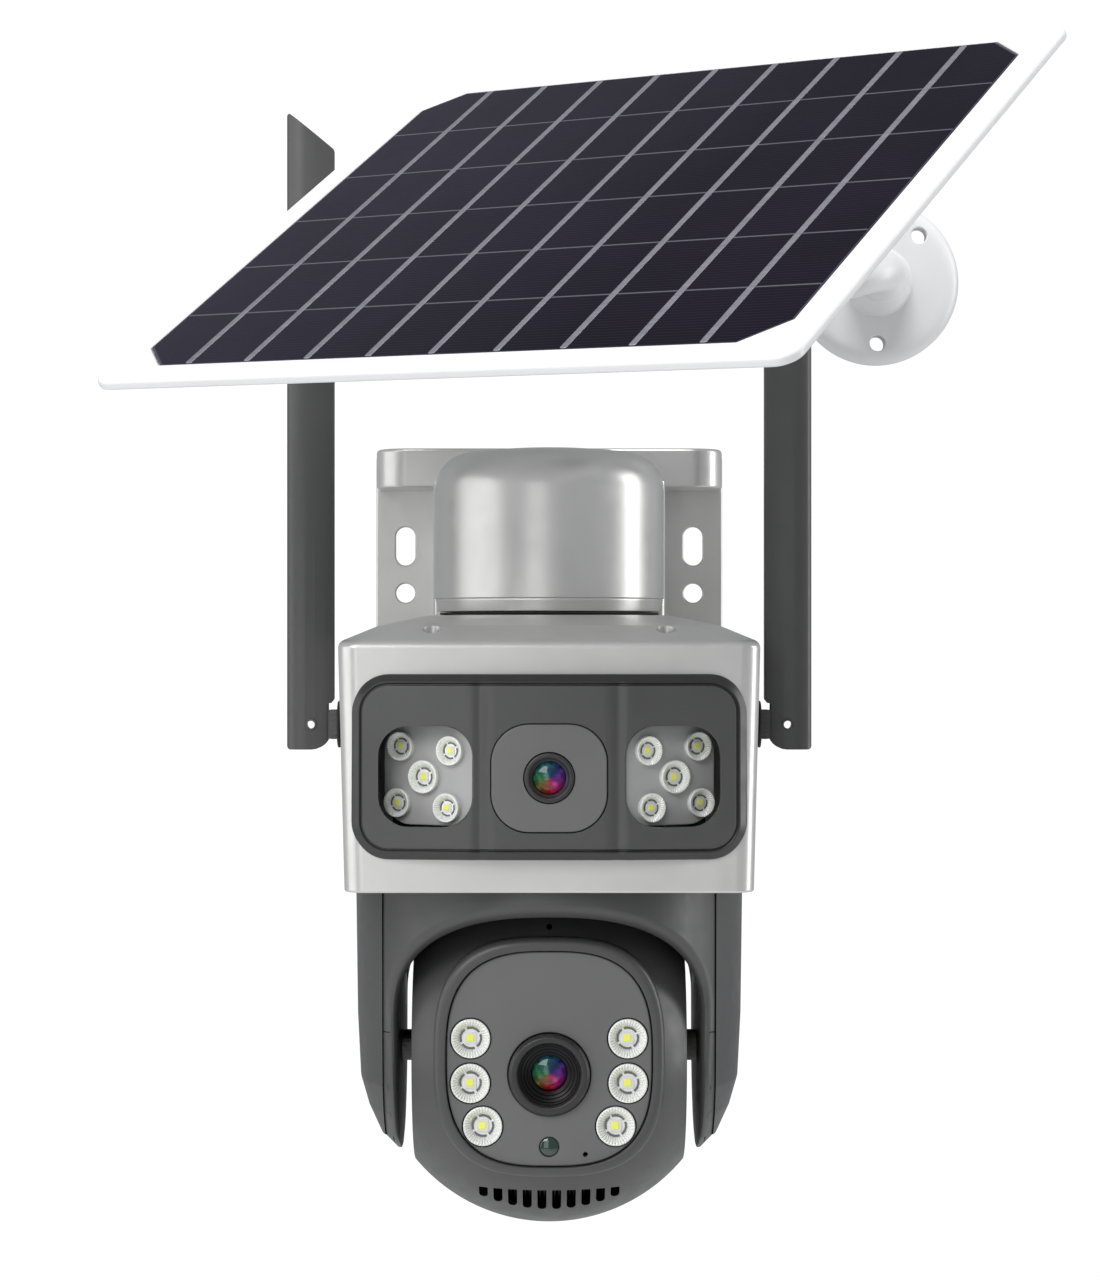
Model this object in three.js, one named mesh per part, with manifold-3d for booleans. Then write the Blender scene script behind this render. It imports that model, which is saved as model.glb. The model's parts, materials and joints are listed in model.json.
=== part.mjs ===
// Solar-powered pan and tilt security camera on a wall bracket,
// with its solar panel on a wall arm beside it.
// Units are millimetres, +Z is up, the camera faces -Y and the wall is the plane y = 0.
// The origin is the centre of the wall bracket's back face.
import * as THREE from 'three';
import { mergeVertices } from 'three/addons/utils/BufferGeometryUtils.js';
import Module from 'manifold-3d';

const wasm = await Module();
wasm.setup();

// ---------------------------------------------------------------- driving dimensions
const GAP = 0.3; // clearance between pieces that meet
const WELD = 1e-4; // distance at which two vertices count as one
const SIDES = 24; // sides of a large round
const ARC_STEPS = 3; // fineness of a rounded corner

// wall bracket
const PLATE = { width: 119.6, height: 80, thick: 3, corner: 4 };
const BAND = { width: 117.4, height: 13.1, depth: 30, corner: 11, top: 38.6 };
const SADDLE = { width: 76.6, depth: 50, wall: 4, bottom: -32 };
const SCREW_HOLE = { x: 49.7, z: -9.8, radius: 3.3 };
const SCREW_SLOT = { x: 49.7, z: 6.4, radius: 3.35, length: 13.3 };

// camera body: the pan axis is vertical through (0, PAN_Y)
const PAN_Y = -75;
const FRONT_Y = -140;
const DOME = { radius: 36.8, bottom: -17, top: 34.5, corner: 12, wall: 2.5 };
const GASKET = { outer: 35.2, inner: 30, bottom: -17.9, thick: 0.6 };
const BODY = { half: 65, upperHalf: 67.1, bottom: -102, eaves: -29.5, ridge: -18.2, wall: 2.6, power: 10 };
const FRONT_TAPER = { start: 10, run: 55, share: 0.055 };
// hipped roof: half sizes and heights of its rings, from the eaves up
const EAVES_EDGE = { inset: 1, rise: 2 };
const ROOF_BREAK = { halfX: 54.4, halfY: 52, z: -21.6, power: 6 };
const ROOF_FLAT = { half: 38.5, power: 2.6 };
const ROOF_HOLE_RADIUS = 12;
const ROOF_SCREW = { x: 35.5, y: -125, recess: 2.5 };
const FLOOR = { half: 61.8, top: -90, thick: 2.5, hole: 17 };

// inside the housing; depths of the inlet are measured forward from the wall
const BOARD_THICK = 1.6;
const MAIN_BOARD = { width: 96, height: 50, y: -116, z: -62 };
const CELL = { radius: 9.2, length: 65, y: -26, topZ: -40, overlap: 0.8 };
const PAN_MOTOR = { radius: 12, bottom: -83, top: -64, shaft: 2, shaftBottom: -88 };
const INLET = { x: -30, z: -70, thread: 3.9, bore: 2, nutRadius: 6, nutFront: 3.4, nutBack: 9.5, back: 16 };

// raised front bezel with three facets
const BEZEL = { width: 118.8, height: 55.6, corner: 11.4, centreZ: -64, faceY: -147, depth: 9, wall: 2.2 };
const BEZEL_FOLD_X = 20.5;
const BEZEL_SWEEP = Math.tan(THREE.MathUtils.degToRad(7));
const COVER = { width: 34.6, height: 32.2, corner: 11.3, z: -67.2, thick: 2 };
const WINDOW = { x: 37.1, z: -66.8, width: 28.2, height: 30.2, corner: 9 };
const FIXED_LENS = { radius: 7.5, glass: 4.8, z: -67.1, length: 24 };
const LED_BOARD = { x: 37.4, y: -136, z: -67.2, yaw: 28, width: 32.4, height: 31.3, corner: 9, thick: 1.6 };
const LED_BOARD_SHIFT = { x: 1.8, z: 1.05 }; // the board's middle against its middle LED
const LED_PITCH = 17.2;
const LED_TURN = 3.7; // the LED square is turned this many degrees on its board
const LED_RADIUS = 4.4;
const LED_MIDDLE_RADIUS = 5;

// yoke and ball
const YOKE = { top: -94, bottom: -188, innerX: 47, coverX: 51.6, coverTop: -104, coverBottom: -183 };
const SIDE_COVER_WALL = 2.2;
const YOKE_HUB = { radius: 15, bore: 10, top: -83 };
const BALL = { z: -156.1, radius: 55.9, flatX: 42.7, wall: 2.5, splitY: -84 };
const BALL_CAVITY = 57.2;
const BALL_SIDES = 28;
const CAVITY_SIDES = 18; // hidden insides are coarser
const ARCH = { top: -110.3, spring: -143, power: 2.4, flare: 5, flareDepth: 8 };
const FACE = { z: -153.9, halfWidth: 35.5, halfHeight: 36.7, frontY: -122, power: 2.85 };
const FACE_PANEL = { z: -154.4, halfWidth: 31.5, halfHeight: 32.9, frontY: -120.6, thick: 2.2 };
const BALL_LENS = { z: -159.1, radius: 12.5, throat: 9.3, glass: 5.2 };
const BALL_LED_RADIUS = 6;
const BALL_LEDS = [[24.1, -148.2], [24.2, -161.9], [20.4, -175.1]];
const SENSOR = { z: -181.4, radius: 3 };
const MIC_HOLE = { z: -114.7, radius: 0.9 };
const RESET_HOLE = { x: 11.1, z: -183.7, radius: 0.9 };
const VENT = { count: 10, pitch: 4.55, width: 2.8, top: -196.4, bottom: -203.4, endBottom: -199.6 };
const AXLE_RADIUS = 5;
const AXLE_BORE = 3;

// drives
const GEAR_MODULE = 1.2;
const PAN_TEETH = 36;
const TILT_TEETH = 24;
const PINION_TEETH = 12;
const GEAR_BACKLASH = 0.3;
const PAN_WHEELS_THICK = 4;
const TILT_WHEELS = { from: 49.4, thick: 2.6 };
const TILT_MOTOR = { radius: 7.5, shaft: 1.5, innerX: 52.4, outerX: 57.3, shaftX: 49.6 };
const DRIVE_ROOM = { innerX: 49, outerX: 60, clearance: 2 }; // room for the wheels in the fork's arms

// antennas
const ANTENNA = { pinX: 76.1, y: -78, pinZ: -53, innerX: 68.9, neckX: 70.2, outerX: 83.9, thick: 9 };
const ANTENNA_TIP = { outer: 143, inner: 131 };
const ANTENNA_FOOT = { z: -61, step: -46.5, slotTop: -46.2, slotHalf: 2.9 };
const FOOT_CORNER = { inner: 5.7, outer: 1.2 };
const TONGUE = { half: 2.6, radius: 4.6, startX: 68 };
const PIVOT_PIN = { radius: 1.9, bore: 1.2 };
const WASHER = { radius: 7.5, innerX: 66.9, outerX: 67.7 };
const SWIVEL_SHAFT_RADIUS = 2.5;

// solar panel: its local frame has x along the lower edge, y up the slope and z out of the cells
const CELLS = { width: 208.7, height: 180, corner: 11, recess: 1.6, thick: 1 };
const RIM = { border: 8.8, thick: 3, corner: 6.5 };
const TRAY = { inset: 12, taper: 5, depth: 6 };
const PANEL_CENTRE = new THREE.Vector3(9.8, -183, 99.5);
const PANEL_YAW = -33;
const PANEL_ROLL = 1.1;
const PANEL_PITCH = 33.6;
const PIVOT = { up: 25, below: 25 }; // tilt pin, up the slope and behind the panel's face
const CLEVIS = { footHalfX: 30, footHalfY: 20, footThick: 3, earInner: 14, earThick: 3, earRadius: 6.5 };
const TILT_PIN = { radius: 3, half: 18.6, headRadius: 5, headThick: 2.2 };
const TONGUE_BLOCK = { halfX: 13.2, halfY: 6, below: 10 };
const JUNCTION = { width: 48, height: 26, depth: 8, y: 66, gland: 3, glandEnd: 34, bore: 1.6 };
// heights of the swivel are measured down from the tilt pin
const SOCKET = { radius: 9.5, top: 8, bottom: 20, boreTop: 11 };
const HUB = { radius: 8.5, top: 20.3, base: 34.5, spigot: 4.7, spigotTop: 12, armZ: 27.6 };
const WALL_DISC = { x: 113, z: 97.4, radius: 28.4, thick: 8, holeCircle: 21.3, hole: 2.7 };
const DISC_HOLE_ANGLES = [-90, 48, 132];
const BOSS = { radius: 11.4, tip: 8.6, front: -22 };
const ARM = { radius: 6, outY: -40, elbow: { x: 56, y: -42, z: 81 }, bend: 13, steps: 36 };

// ---------------------------------------------------------------- materials
const FINISHES = {
  silver: { color: 0xb9bab8, roughness: 0.35, metalness: 0.6 },
  charcoal: { color: 0x3b3c3d, roughness: 0.5, metalness: 0.0 },
  slate: { color: 0x6c6c6c, roughness: 0.45, metalness: 0.0 },
  white: { color: 0xe4e4e4, roughness: 0.4, metalness: 0.0 },
  rubber: { color: 0x1a1a1a, roughness: 0.9, metalness: 0.0 },
  cells: { color: 0x0c0a14, roughness: 0.15, metalness: 0.0 },
  glass: { color: 0x1d2b3a, roughness: 0.05, metalness: 0.0 },
  reflector: { color: 0xf0f2ec, roughness: 0.3, metalness: 0.1 },
  steel: { color: 0x9a9c9e, roughness: 0.3, metalness: 0.9 },
  board: { color: 0x1f4a33, roughness: 0.6, metalness: 0.0 },
  wrap: { color: 0x2c5d8f, roughness: 0.5, metalness: 0.0 },
  nylon: { color: 0xdcd8c8, roughness: 0.6, metalness: 0.0 },
};

const camera = new THREE.Group();

function addPart(name, finish, shape, parent = camera) {
  const geometry = shape.getMesh ? geometryOf(shape) : shape;
  const mesh = new THREE.Mesh(geometry, new THREE.MeshStandardMaterial(FINISHES[finish]));
  mesh.name = name;
  parent.add(mesh);
  return mesh;
}

// ---------------------------------------------------------------- geometry helpers
function solid(geometry) {
  geometry.deleteAttribute('normal');
  geometry.deleteAttribute('uv');
  const welded = mergeVertices(geometry, WELD);
  const corners = welded.index.array;
  const kept = [];
  for (let i = 0; i < corners.length; i += 3) {
    const [a, b, c] = corners.slice(i, i + 3);
    if (a !== b && b !== c && c !== a) kept.push(a, b, c);
  }
  const vertProperties = new Float32Array(welded.getAttribute('position').array);
  return new wasm.Manifold(new wasm.Mesh({ numProp: 3, vertProperties, triVerts: new Uint32Array(kept) }));
}

function geometryOf(body) {
  const mesh = body.getMesh();
  const geometry = new THREE.BufferGeometry();
  geometry.setAttribute('position', new THREE.BufferAttribute(mesh.vertProperties, 3));
  geometry.setIndex(new THREE.BufferAttribute(mesh.triVerts, 1));
  geometry.computeVertexNormals();
  return geometry;
}

function cut(body, ...tools) {
  return tools.reduce((left, tool) => left.subtract(tool), body);
}

function join(body, ...others) {
  return others.reduce((whole, other) => whole.add(other), body);
}

function box(x0, x1, y0, y1, z0, z1) {
  const geometry = new THREE.BoxGeometry(x1 - x0, y1 - y0, z1 - z0);
  return solid(geometry.translate((x0 + x1) / 2, (y0 + y1) / 2, (z0 + z1) / 2));
}

// A profile of [radius, height] pairs turned round an axis; its outer side runs towards +height.
function turned(profile, axis = 'z', sides = SIDES) {
  const points = profile.map(([radius, height]) => new THREE.Vector2(radius, height));
  const geometry = new THREE.LatheGeometry(points, sides);
  if (axis === 'z') geometry.rotateX(Math.PI / 2);
  if (axis === 'front') geometry.rotateX(Math.PI);
  if (axis === 'x') geometry.rotateZ(-Math.PI / 2);
  return geometry;
}

function rod(radius, from, to, axis = 'z', sides = SIDES) {
  return turned([[0, from], [radius, from], [radius, to], [0, to]], axis, sides);
}

function tube(radius, bore, from, to, axis = 'z', sides = SIDES) {
  return turned([[bore, from], [radius, from], [radius, to], [bore, to], [bore, from]], axis, sides);
}

function roundedRect(width, height, radius, x = 0, y = 0) {
  const [a, b] = [width / 2, height / 2];
  const shape = new THREE.Shape();
  shape.moveTo(x - a + radius, y - b);
  shape.lineTo(x + a - radius, y - b);
  shape.absarc(x + a - radius, y - b + radius, radius, -Math.PI / 2, 0);
  shape.lineTo(x + a, y + b - radius);
  shape.absarc(x + a - radius, y + b - radius, radius, 0, Math.PI / 2);
  shape.lineTo(x - a + radius, y + b);
  shape.absarc(x - a + radius, y + b - radius, radius, Math.PI / 2, Math.PI);
  shape.lineTo(x - a, y - b + radius);
  shape.absarc(x - a + radius, y - b + radius, radius, Math.PI, Math.PI * 1.5);
  return shape;
}

function chamferedRect(width, height, corner) {
  const [a, b, c] = [width / 2, height / 2, corner];
  const outline = [[-a + c, -b], [a - c, -b], [a, -b + c], [a, b - c]];
  outline.push([a - c, b], [-a + c, b], [-a, b - c], [-a, -b + c]);
  return new THREE.Shape(outline.map(([x, y]) => new THREE.Vector2(x, y)));
}

// One quadrant-symmetric outline |x/a|^n + |y/b|^n = 1.
function superellipse(a, b, power, count = 28) {
  const points = [];
  for (let i = 0; i < count; i++) {
    const angle = (i / count) * Math.PI * 2;
    const [c, s] = [Math.cos(angle), Math.sin(angle)];
    const x = a * Math.sign(c) * Math.abs(c) ** (2 / power);
    const y = b * Math.sign(s) * Math.abs(s) ** (2 / power);
    points.push(new THREE.Vector2(x, y));
  }
  return points;
}

function extruded(shape, depth, curveSegments = ARC_STEPS) {
  return new THREE.ExtrudeGeometry(shape, { depth, bevelEnabled: false, curveSegments });
}

// Drawn in (x, z), with its back at backY and its thickness towards the front.
function frontPlate(shape, backY, depth, curveSegments = ARC_STEPS) {
  return extruded(shape, depth, curveSegments).rotateX(Math.PI / 2).translate(0, backY, 0);
}

// Drawn in (x, y) and extruded upwards.
function flatPlate(shape, bottomZ, depth, curveSegments = ARC_STEPS) {
  return extruded(shape, depth, curveSegments).translate(0, 0, bottomZ);
}

// Skin through rings of equal point counts, closed by a fan at each end.
function loft(rings) {
  const count = rings[0].length;
  const vertices = rings.flat();
  const ends = [rings[0], rings[rings.length - 1]];
  for (const ring of ends) {
    vertices.push(ring.reduce((sum, p) => sum.add(p), new THREE.Vector3()).divideScalar(count));
  }
  const index = [];
  const last = (rings.length - 1) * count;
  const [startHub, endHub] = [vertices.length - 2, vertices.length - 1];
  for (let j = 0; j < count; j++) {
    const k = (j + 1) % count;
    for (let base = 0; base < last; base += count) {
      index.push(base + j, base + k, base + count + k);
      index.push(base + j, base + count + k, base + count + j);
    }
    index.push(startHub, k, j);
    index.push(endHub, last + j, last + k);
  }
  const geometry = new THREE.BufferGeometry().setFromPoints(vertices);
  geometry.setIndex(index);
  return geometry;
}

// Plan outline of the housing, whose sides lean in towards the front.
function bodyRing(halfX, halfY, z, power) {
  const { start, run, share } = FRONT_TAPER;
  return superellipse(halfX, halfY, power).map((p) => {
    const along = THREE.MathUtils.clamp((-p.y - start) / run, 0, 1);
    return new THREE.Vector3(p.x * (1 - share * along), PAN_Y + p.y, z);
  });
}

// Involute spur gear outline, round its own centre, with a tooth centred on +x.
function gearOutline(teeth) {
  const pitch = (teeth * GEAR_MODULE) / 2;
  const baseRadius = pitch * Math.cos(THREE.MathUtils.degToRad(20));
  const tip = pitch + 0.85 * GEAR_MODULE;
  const root = pitch - 1.1 * GEAR_MODULE;
  const roll = (r) => Math.sqrt(Math.max((r / baseRadius) ** 2 - 1, 0));
  const involute = (r) => roll(r) - Math.acos(Math.min(baseRadius / r, 1));
  const halfAtPitch = (Math.PI / 2 - GEAR_BACKLASH / GEAR_MODULE) / teeth;
  const halfAngle = (r) => halfAtPitch + involute(pitch) - involute(r);
  const low = Math.max(root + 0.15, baseRadius);
  const flank = [[root, halfAngle(low)], [pitch, halfAngle(pitch)], [tip, halfAngle(tip)]];
  const outline = [];
  for (let tooth = 0; tooth < teeth; tooth++) {
    const centre = (tooth / teeth) * Math.PI * 2;
    const at = (r, angle) => outline.push(new THREE.Vector2(r * Math.cos(angle), r * Math.sin(angle)));
    flank.forEach(([r, half]) => at(r, centre - half));
    [...flank].reverse().forEach(([r, half]) => at(r, centre + half));
  }
  return outline;
}

function gear(teeth, bore, thick, boreSteps = 6) {
  const shape = new THREE.Shape(gearOutline(teeth));
  const hole = new THREE.Path().absarc(0, 0, bore, 0, Math.PI * 2, true);
  shape.holes.push(hole);
  return extruded(shape, thick, boreSteps);
}

function pitchRadius(teeth) {
  return (teeth * GEAR_MODULE) / 2;
}

// ---------------------------------------------------------------- wall bracket and dome
function buildBracket() {
  const plateShape = roundedRect(PLATE.width, PLATE.height, PLATE.corner);
  const plate = solid(frontPlate(plateShape, 0, PLATE.thick, 2));
  const bandShape = roundedRect(BAND.width, 2 * BAND.depth, BAND.corner);
  const bandBlock = solid(flatPlate(bandShape, BAND.top - BAND.height, BAND.height));
  const band = cut(bandBlock, box(-80, 80, 0, 80, 0, 80));
  const half = SADDLE.width / 2;
  const saddle = box(-half, half, -SADDLE.depth, -1, SADDLE.bottom, BAND.top);
  const hollowHalf = half - SADDLE.wall;
  const hollow = box(-hollowHalf, hollowHalf, -SADDLE.depth - 5, -PLATE.thick, -60, BAND.top - SADDLE.wall);
  const domeRoom = solid(rod(DOME.radius + GAP, -60, 60).translate(0, PAN_Y, 0));
  const roofRoom = solid(loft(housingRings(GAP + 0.05)));
  const holes = [];
  for (const side of [-1, 1]) {
    const round = solid(rod(SCREW_HOLE.radius, -5, 10, 'front', 16));
    holes.push(solid(geometryOf(round).translate(side * SCREW_HOLE.x, 0, SCREW_HOLE.z)));
    const { x, z, radius, length } = SCREW_SLOT;
    const slot = roundedRect(2 * radius, length, radius - 0.01, side * x, z);
    holes.push(solid(frontPlate(slot, 5, 15)));
  }
  const whole = join(plate, band, saddle);
  return cut(whole, hollow, domeRoom, roofRoom, ...holes);
}

// The housing's outer skin, grown by a clearance, from the skirt up to the flat under the dome.
function housingRings(grow) {
  const { half, upperHalf, bottom, eaves, ridge, power } = BODY;
  const { inset, rise } = EAVES_EDGE;
  return [
    bodyRing(half + grow, half + grow, bottom - grow, power),
    bodyRing(upperHalf + grow, half + grow, eaves, power),
    bodyRing(upperHalf - inset + grow, half - inset + grow, eaves + rise + grow, power - 1),
    bodyRing(ROOF_BREAK.halfX + grow, ROOF_BREAK.halfY + grow, ROOF_BREAK.z + grow, ROOF_BREAK.power),
    bodyRing(ROOF_FLAT.half + grow, ROOF_FLAT.half + grow, ridge + grow, ROOF_FLAT.power),
  ];
}

function buildDome() {
  const { radius, bottom, top, corner, wall } = DOME;
  const profile = [[radius - wall, bottom], [radius - 0.6, bottom], [radius, bottom + 0.8]];
  const steps = 4;
  for (let i = 0; i <= steps; i++) {
    const angle = (i / steps) * (Math.PI / 2);
    profile.push([radius - corner + corner * Math.cos(angle), top - corner + corner * Math.sin(angle)]);
  }
  profile.push([0, top], [0, top - wall], [radius - corner, top - wall], [radius - wall, top - corner]);
  profile.push([radius - wall, bottom]);
  return turned(profile).translate(0, PAN_Y, 0);
}

function buildMountingPieces() {
  addPart('wall_bracket', 'silver', buildBracket());
  addPart('dome_cap', 'silver', buildDome());
  const { outer, inner, bottom, thick } = GASKET;
  addPart('dome_gasket', 'rubber', tube(outer, inner, bottom, bottom + thick).translate(0, PAN_Y, 0));
}

// ---------------------------------------------------------------- housing
function buildHousingShell() {
  const { half, upperHalf, bottom, eaves, ridge, wall, power } = BODY;
  const cavity = [
    bodyRing(ROOF_FLAT.half - wall, ROOF_FLAT.half - wall, ridge - wall, ROOF_FLAT.power),
    bodyRing(ROOF_BREAK.halfX - wall, ROOF_BREAK.halfY - wall, ROOF_BREAK.z - 3, ROOF_BREAK.power),
    bodyRing(upperHalf - wall, half - wall, eaves - 1, power),
    bodyRing(half - wall, half - wall, bottom, power),
  ];
  const shell = solid(loft([...cavity, ...housingRings(0)]));
  const doorway = roundedRect(BEZEL.width - 8, BEZEL.height - 8, 8, 0, BEZEL.centreZ);
  const tools = [
    solid(frontPlate(doorway, FRONT_Y + 12, 20)),
    solid(rod(ROOF_HOLE_RADIUS, -30, 0).translate(0, PAN_Y, 0)),
    solid(rod(SWIVEL_SHAFT_RADIUS + GAP, -80, 80, 'x', 16).translate(0, ANTENNA.y, ANTENNA.pinZ)),
    solid(rod(INLET.thread + GAP, -20, 20, 'front', 16).translate(INLET.x, 0, INLET.z)),
  ];
  for (const side of [-1, 1]) {
    const recess = rod(ROOF_SCREW.recess, -28, -10, 'z', 16);
    tools.push(solid(recess.translate(side * ROOF_SCREW.x, ROOF_SCREW.y, 0)));
  }
  return cut(shell, ...tools);
}

function buildFloor() {
  const rings = [
    bodyRing(FLOOR.half, FLOOR.half, FLOOR.top - FLOOR.thick, BODY.power),
    bodyRing(FLOOR.half, FLOOR.half, FLOOR.top, BODY.power),
  ];
  return cut(solid(loft(rings)), solid(rod(FLOOR.hole, -100, -80).translate(0, PAN_Y, 0)));
}

// ---------------------------------------------------------------- bezel and fixed camera
// The side facets sweep back from the fold lines.
function sweepBack(geometry) {
  const place = geometry.getAttribute('position');
  for (let i = 0; i < place.count; i++) {
    const beyond = Math.max(Math.abs(place.getX(i)) - BEZEL_FOLD_X, 0);
    place.setY(i, place.getY(i) + beyond * BEZEL_SWEEP);
  }
  return geometry;
}

function bezelBlock(inset, bevel) {
  const width = BEZEL.width - 2 * inset;
  const height = BEZEL.height - 2 * inset;
  const outline = roundedRect(width, height, BEZEL.corner - inset, 0, BEZEL.centreZ);
  const settings = { depth: BEZEL.depth, bevelSegments: 1, curveSegments: ARC_STEPS };
  Object.assign(settings, { bevelThickness: bevel, bevelSize: bevel, bevelOffset: -bevel });
  const geometry = new THREE.ExtrudeGeometry(outline, settings);
  const front = BEZEL.faceY + inset;
  const block = solid(geometry.rotateX(Math.PI / 2).translate(0, front + BEZEL.depth + bevel, 0));
  const thirds = [[-90, -BEZEL_FOLD_X], [-BEZEL_FOLD_X, BEZEL_FOLD_X], [BEZEL_FOLD_X, 90]];
  const swept = thirds.map(([x0, x1]) => block.intersect(box(x0, x1, -200, 0, -150, 50)));
  return join(...swept.map((piece) => solid(sweepBack(geometryOf(piece)))));
}

function buildBezel() {
  const coverHole = roundedRect(COVER.width + 2 * GAP, COVER.height + 2 * GAP, COVER.corner, 0, COVER.z);
  const openings = [frontPlate(coverHole, -120, 40)];
  for (const side of [-1, 1]) {
    const window = roundedRect(WINDOW.width, WINDOW.height, WINDOW.corner, side * WINDOW.x, WINDOW.z);
    openings.push(frontPlate(window, -120, 40));
  }
  const shell = cut(bezelBlock(0, 2.6), bezelBlock(BEZEL.wall, 0.6), solid(loft(housingRings(GAP))));
  return cut(shell, ...openings.map(solid));
}

function reflectorCup(radius, depth, sides = 16) {
  const profile = [[0, 0], [radius * 0.6, 0], [radius, depth], [radius * 0.86, depth], [0, depth * 0.3]];
  return turned(profile, 'front', sides);
}

// One board with its five reflector cups, turned outwards about the vertical.
function buildLedBank(side, word) {
  const { x, y, z, yaw, width, height, corner, thick } = LED_BOARD;
  const outline = roundedRect(width, height, corner, -side * LED_BOARD_SHIFT.x, LED_BOARD_SHIFT.z);
  const board = solid(frontPlate(outline, thick, thick));
  const turn = THREE.MathUtils.degToRad(side * LED_TURN);
  const spots = [[0, 0], [-1, 1], [1, 1], [-1, -1], [1, -1]];
  const cups = spots.map(([across, up], i) => {
    const spot = new THREE.Vector2(across, up).multiplyScalar(LED_PITCH / 2);
    spot.rotateAround(new THREE.Vector2(), turn);
    const radius = i === 0 ? LED_MIDDLE_RADIUS : LED_RADIUS;
    return solid(reflectorCup(radius, 2.2, 10).translate(spot.x, 0.2, spot.y));
  });
  const bank = addPart(`led_bank_${word}`, 'reflector', join(board, ...cups));
  bank.position.set(side * x, y, z);
  bank.rotation.z = THREE.MathUtils.degToRad(side * yaw);
}

function buildFixedCamera() {
  const coverShape = roundedRect(COVER.width, COVER.height, COVER.corner, 0, COVER.z);
  const lensHole = solid(rod(FIXED_LENS.radius + GAP, 100, 160, 'front').translate(0, 0, FIXED_LENS.z));
  const coverFront = BEZEL.faceY + 0.1;
  const plate = solid(frontPlate(coverShape, coverFront + COVER.thick, COVER.thick));
  addPart('centre_cover', 'slate', cut(plate, lensHole));
  const front = -BEZEL.faceY + 0.4;
  const { radius, glass, length, z } = FIXED_LENS;
  const barrel = [[0, front - length], [radius, front - length], [radius, front], [radius - 1, front]];
  barrel.push([glass + GAP, front - 1.8], [glass + GAP, front - 5], [0, front - 5]);
  addPart('fixed_lens_barrel', 'charcoal', turned(barrel, 'front').translate(0, 0, z));
  const dome = [[0, front - 4.5], [glass, front - 4.5], [glass, front - 2.4]];
  dome.push([glass * 0.55, front - 1.7], [0, front - 1.4]);
  addPart('fixed_lens_glass', 'glass', turned(dome, 'front', 24).translate(0, 0, z));
}

function buildBatteryPack() {
  const { radius, length, y, topZ, overlap } = CELL;
  const cells = [0, 1, 2].map((i) => {
    const cell = rod(radius, -length / 2, length / 2, 'x', 16);
    return solid(cell.translate(0, y, topZ - i * (2 * radius - overlap)));
  });
  return join(...cells);
}

function buildPanMotor() {
  const { radius, bottom, top, shaft, shaftBottom } = PAN_MOTOR;
  const can = solid(rod(radius, bottom, top));
  const spindle = solid(rod(shaft, shaftBottom, bottom + 1, 'z', 12));
  return geometryOf(join(can, spindle)).translate(pitchRadius(PAN_TEETH + PINION_TEETH), PAN_Y, 0);
}

// Threaded gland through the housing's back, with its nut outside and an open bore.
function buildInlet() {
  const { x, z, thread, bore, nutRadius, nutFront, nutBack, back } = INLET;
  const nut = solid(rod(nutRadius, nutFront, nutBack, 'front', 6));
  const tail = solid(rod(thread, nutBack - 1, back, 'front', 16));
  const hole = solid(rod(bore, 0, 30, 'front', 12));
  return geometryOf(cut(join(nut, tail), hole)).translate(x, 0, z);
}

function buildInsides() {
  const boardShape = roundedRect(MAIN_BOARD.width, MAIN_BOARD.height, 2, 0, MAIN_BOARD.z);
  addPart('main_board', 'board', frontPlate(boardShape, MAIN_BOARD.y, BOARD_THICK, 1));
  addPart('battery_pack', 'wrap', buildBatteryPack());
  addPart('pan_motor', 'steel', buildPanMotor());
  addPart('power_inlet', 'rubber', buildInlet());
}

function buildHousing() {
  addPart('housing_shell', 'silver', buildHousingShell());
  addPart('housing_floor', 'charcoal', buildFloor());
  addPart('front_bezel', 'charcoal', buildBezel());
  buildFixedCamera();
  buildLedBank(-1, 'left');
  buildLedBank(1, 'right');
  buildInsides();
}

// ---------------------------------------------------------------- yoke
const YOKE_PROFILE = [[61.6, YOKE.top], [60.9, -145], [59.9, -165], [57.3, -174], [53.2, YOKE.coverBottom]];
YOKE_PROFILE.push([48.4, YOKE.bottom]);

function yokeRound(shrink, from, to) {
  const outline = YOKE_PROFILE.map(([radius, z]) => [radius - shrink, z]).reverse();
  const profile = [[0, outline[0][1]], ...outline, [0, YOKE.top]];
  const whole = solid(turned(profile, 'z', BALL_SIDES).translate(0, PAN_Y, 0));
  return whole.intersect(box(-90, 90, PAN_Y - 90, PAN_Y + 90, from, to));
}

// Fork opening: straight sides up to the spring line and a superelliptic arch over the ball.
function archOutline(grow) {
  const half = YOKE.innerX + grow;
  const rise = ARCH.top - ARCH.spring + grow;
  const arch = superellipse(half, rise, ARCH.power, 28).filter((p) => p.y >= -1e-6);
  const points = arch.map((p) => new THREE.Vector3(p.x, 0, p.y + ARCH.spring));
  return [new THREE.Vector3(half, 0, -230), ...points, new THREE.Vector3(-half, 0, -230)];
}

function archPrism(growFront, frontY, growBack, backY) {
  const ringAt = (grow, y) => archOutline(grow).map((p) => p.setY(y));
  return solid(loft([ringAt(growBack, backY), ringAt(growFront, frontY)]));
}

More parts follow.
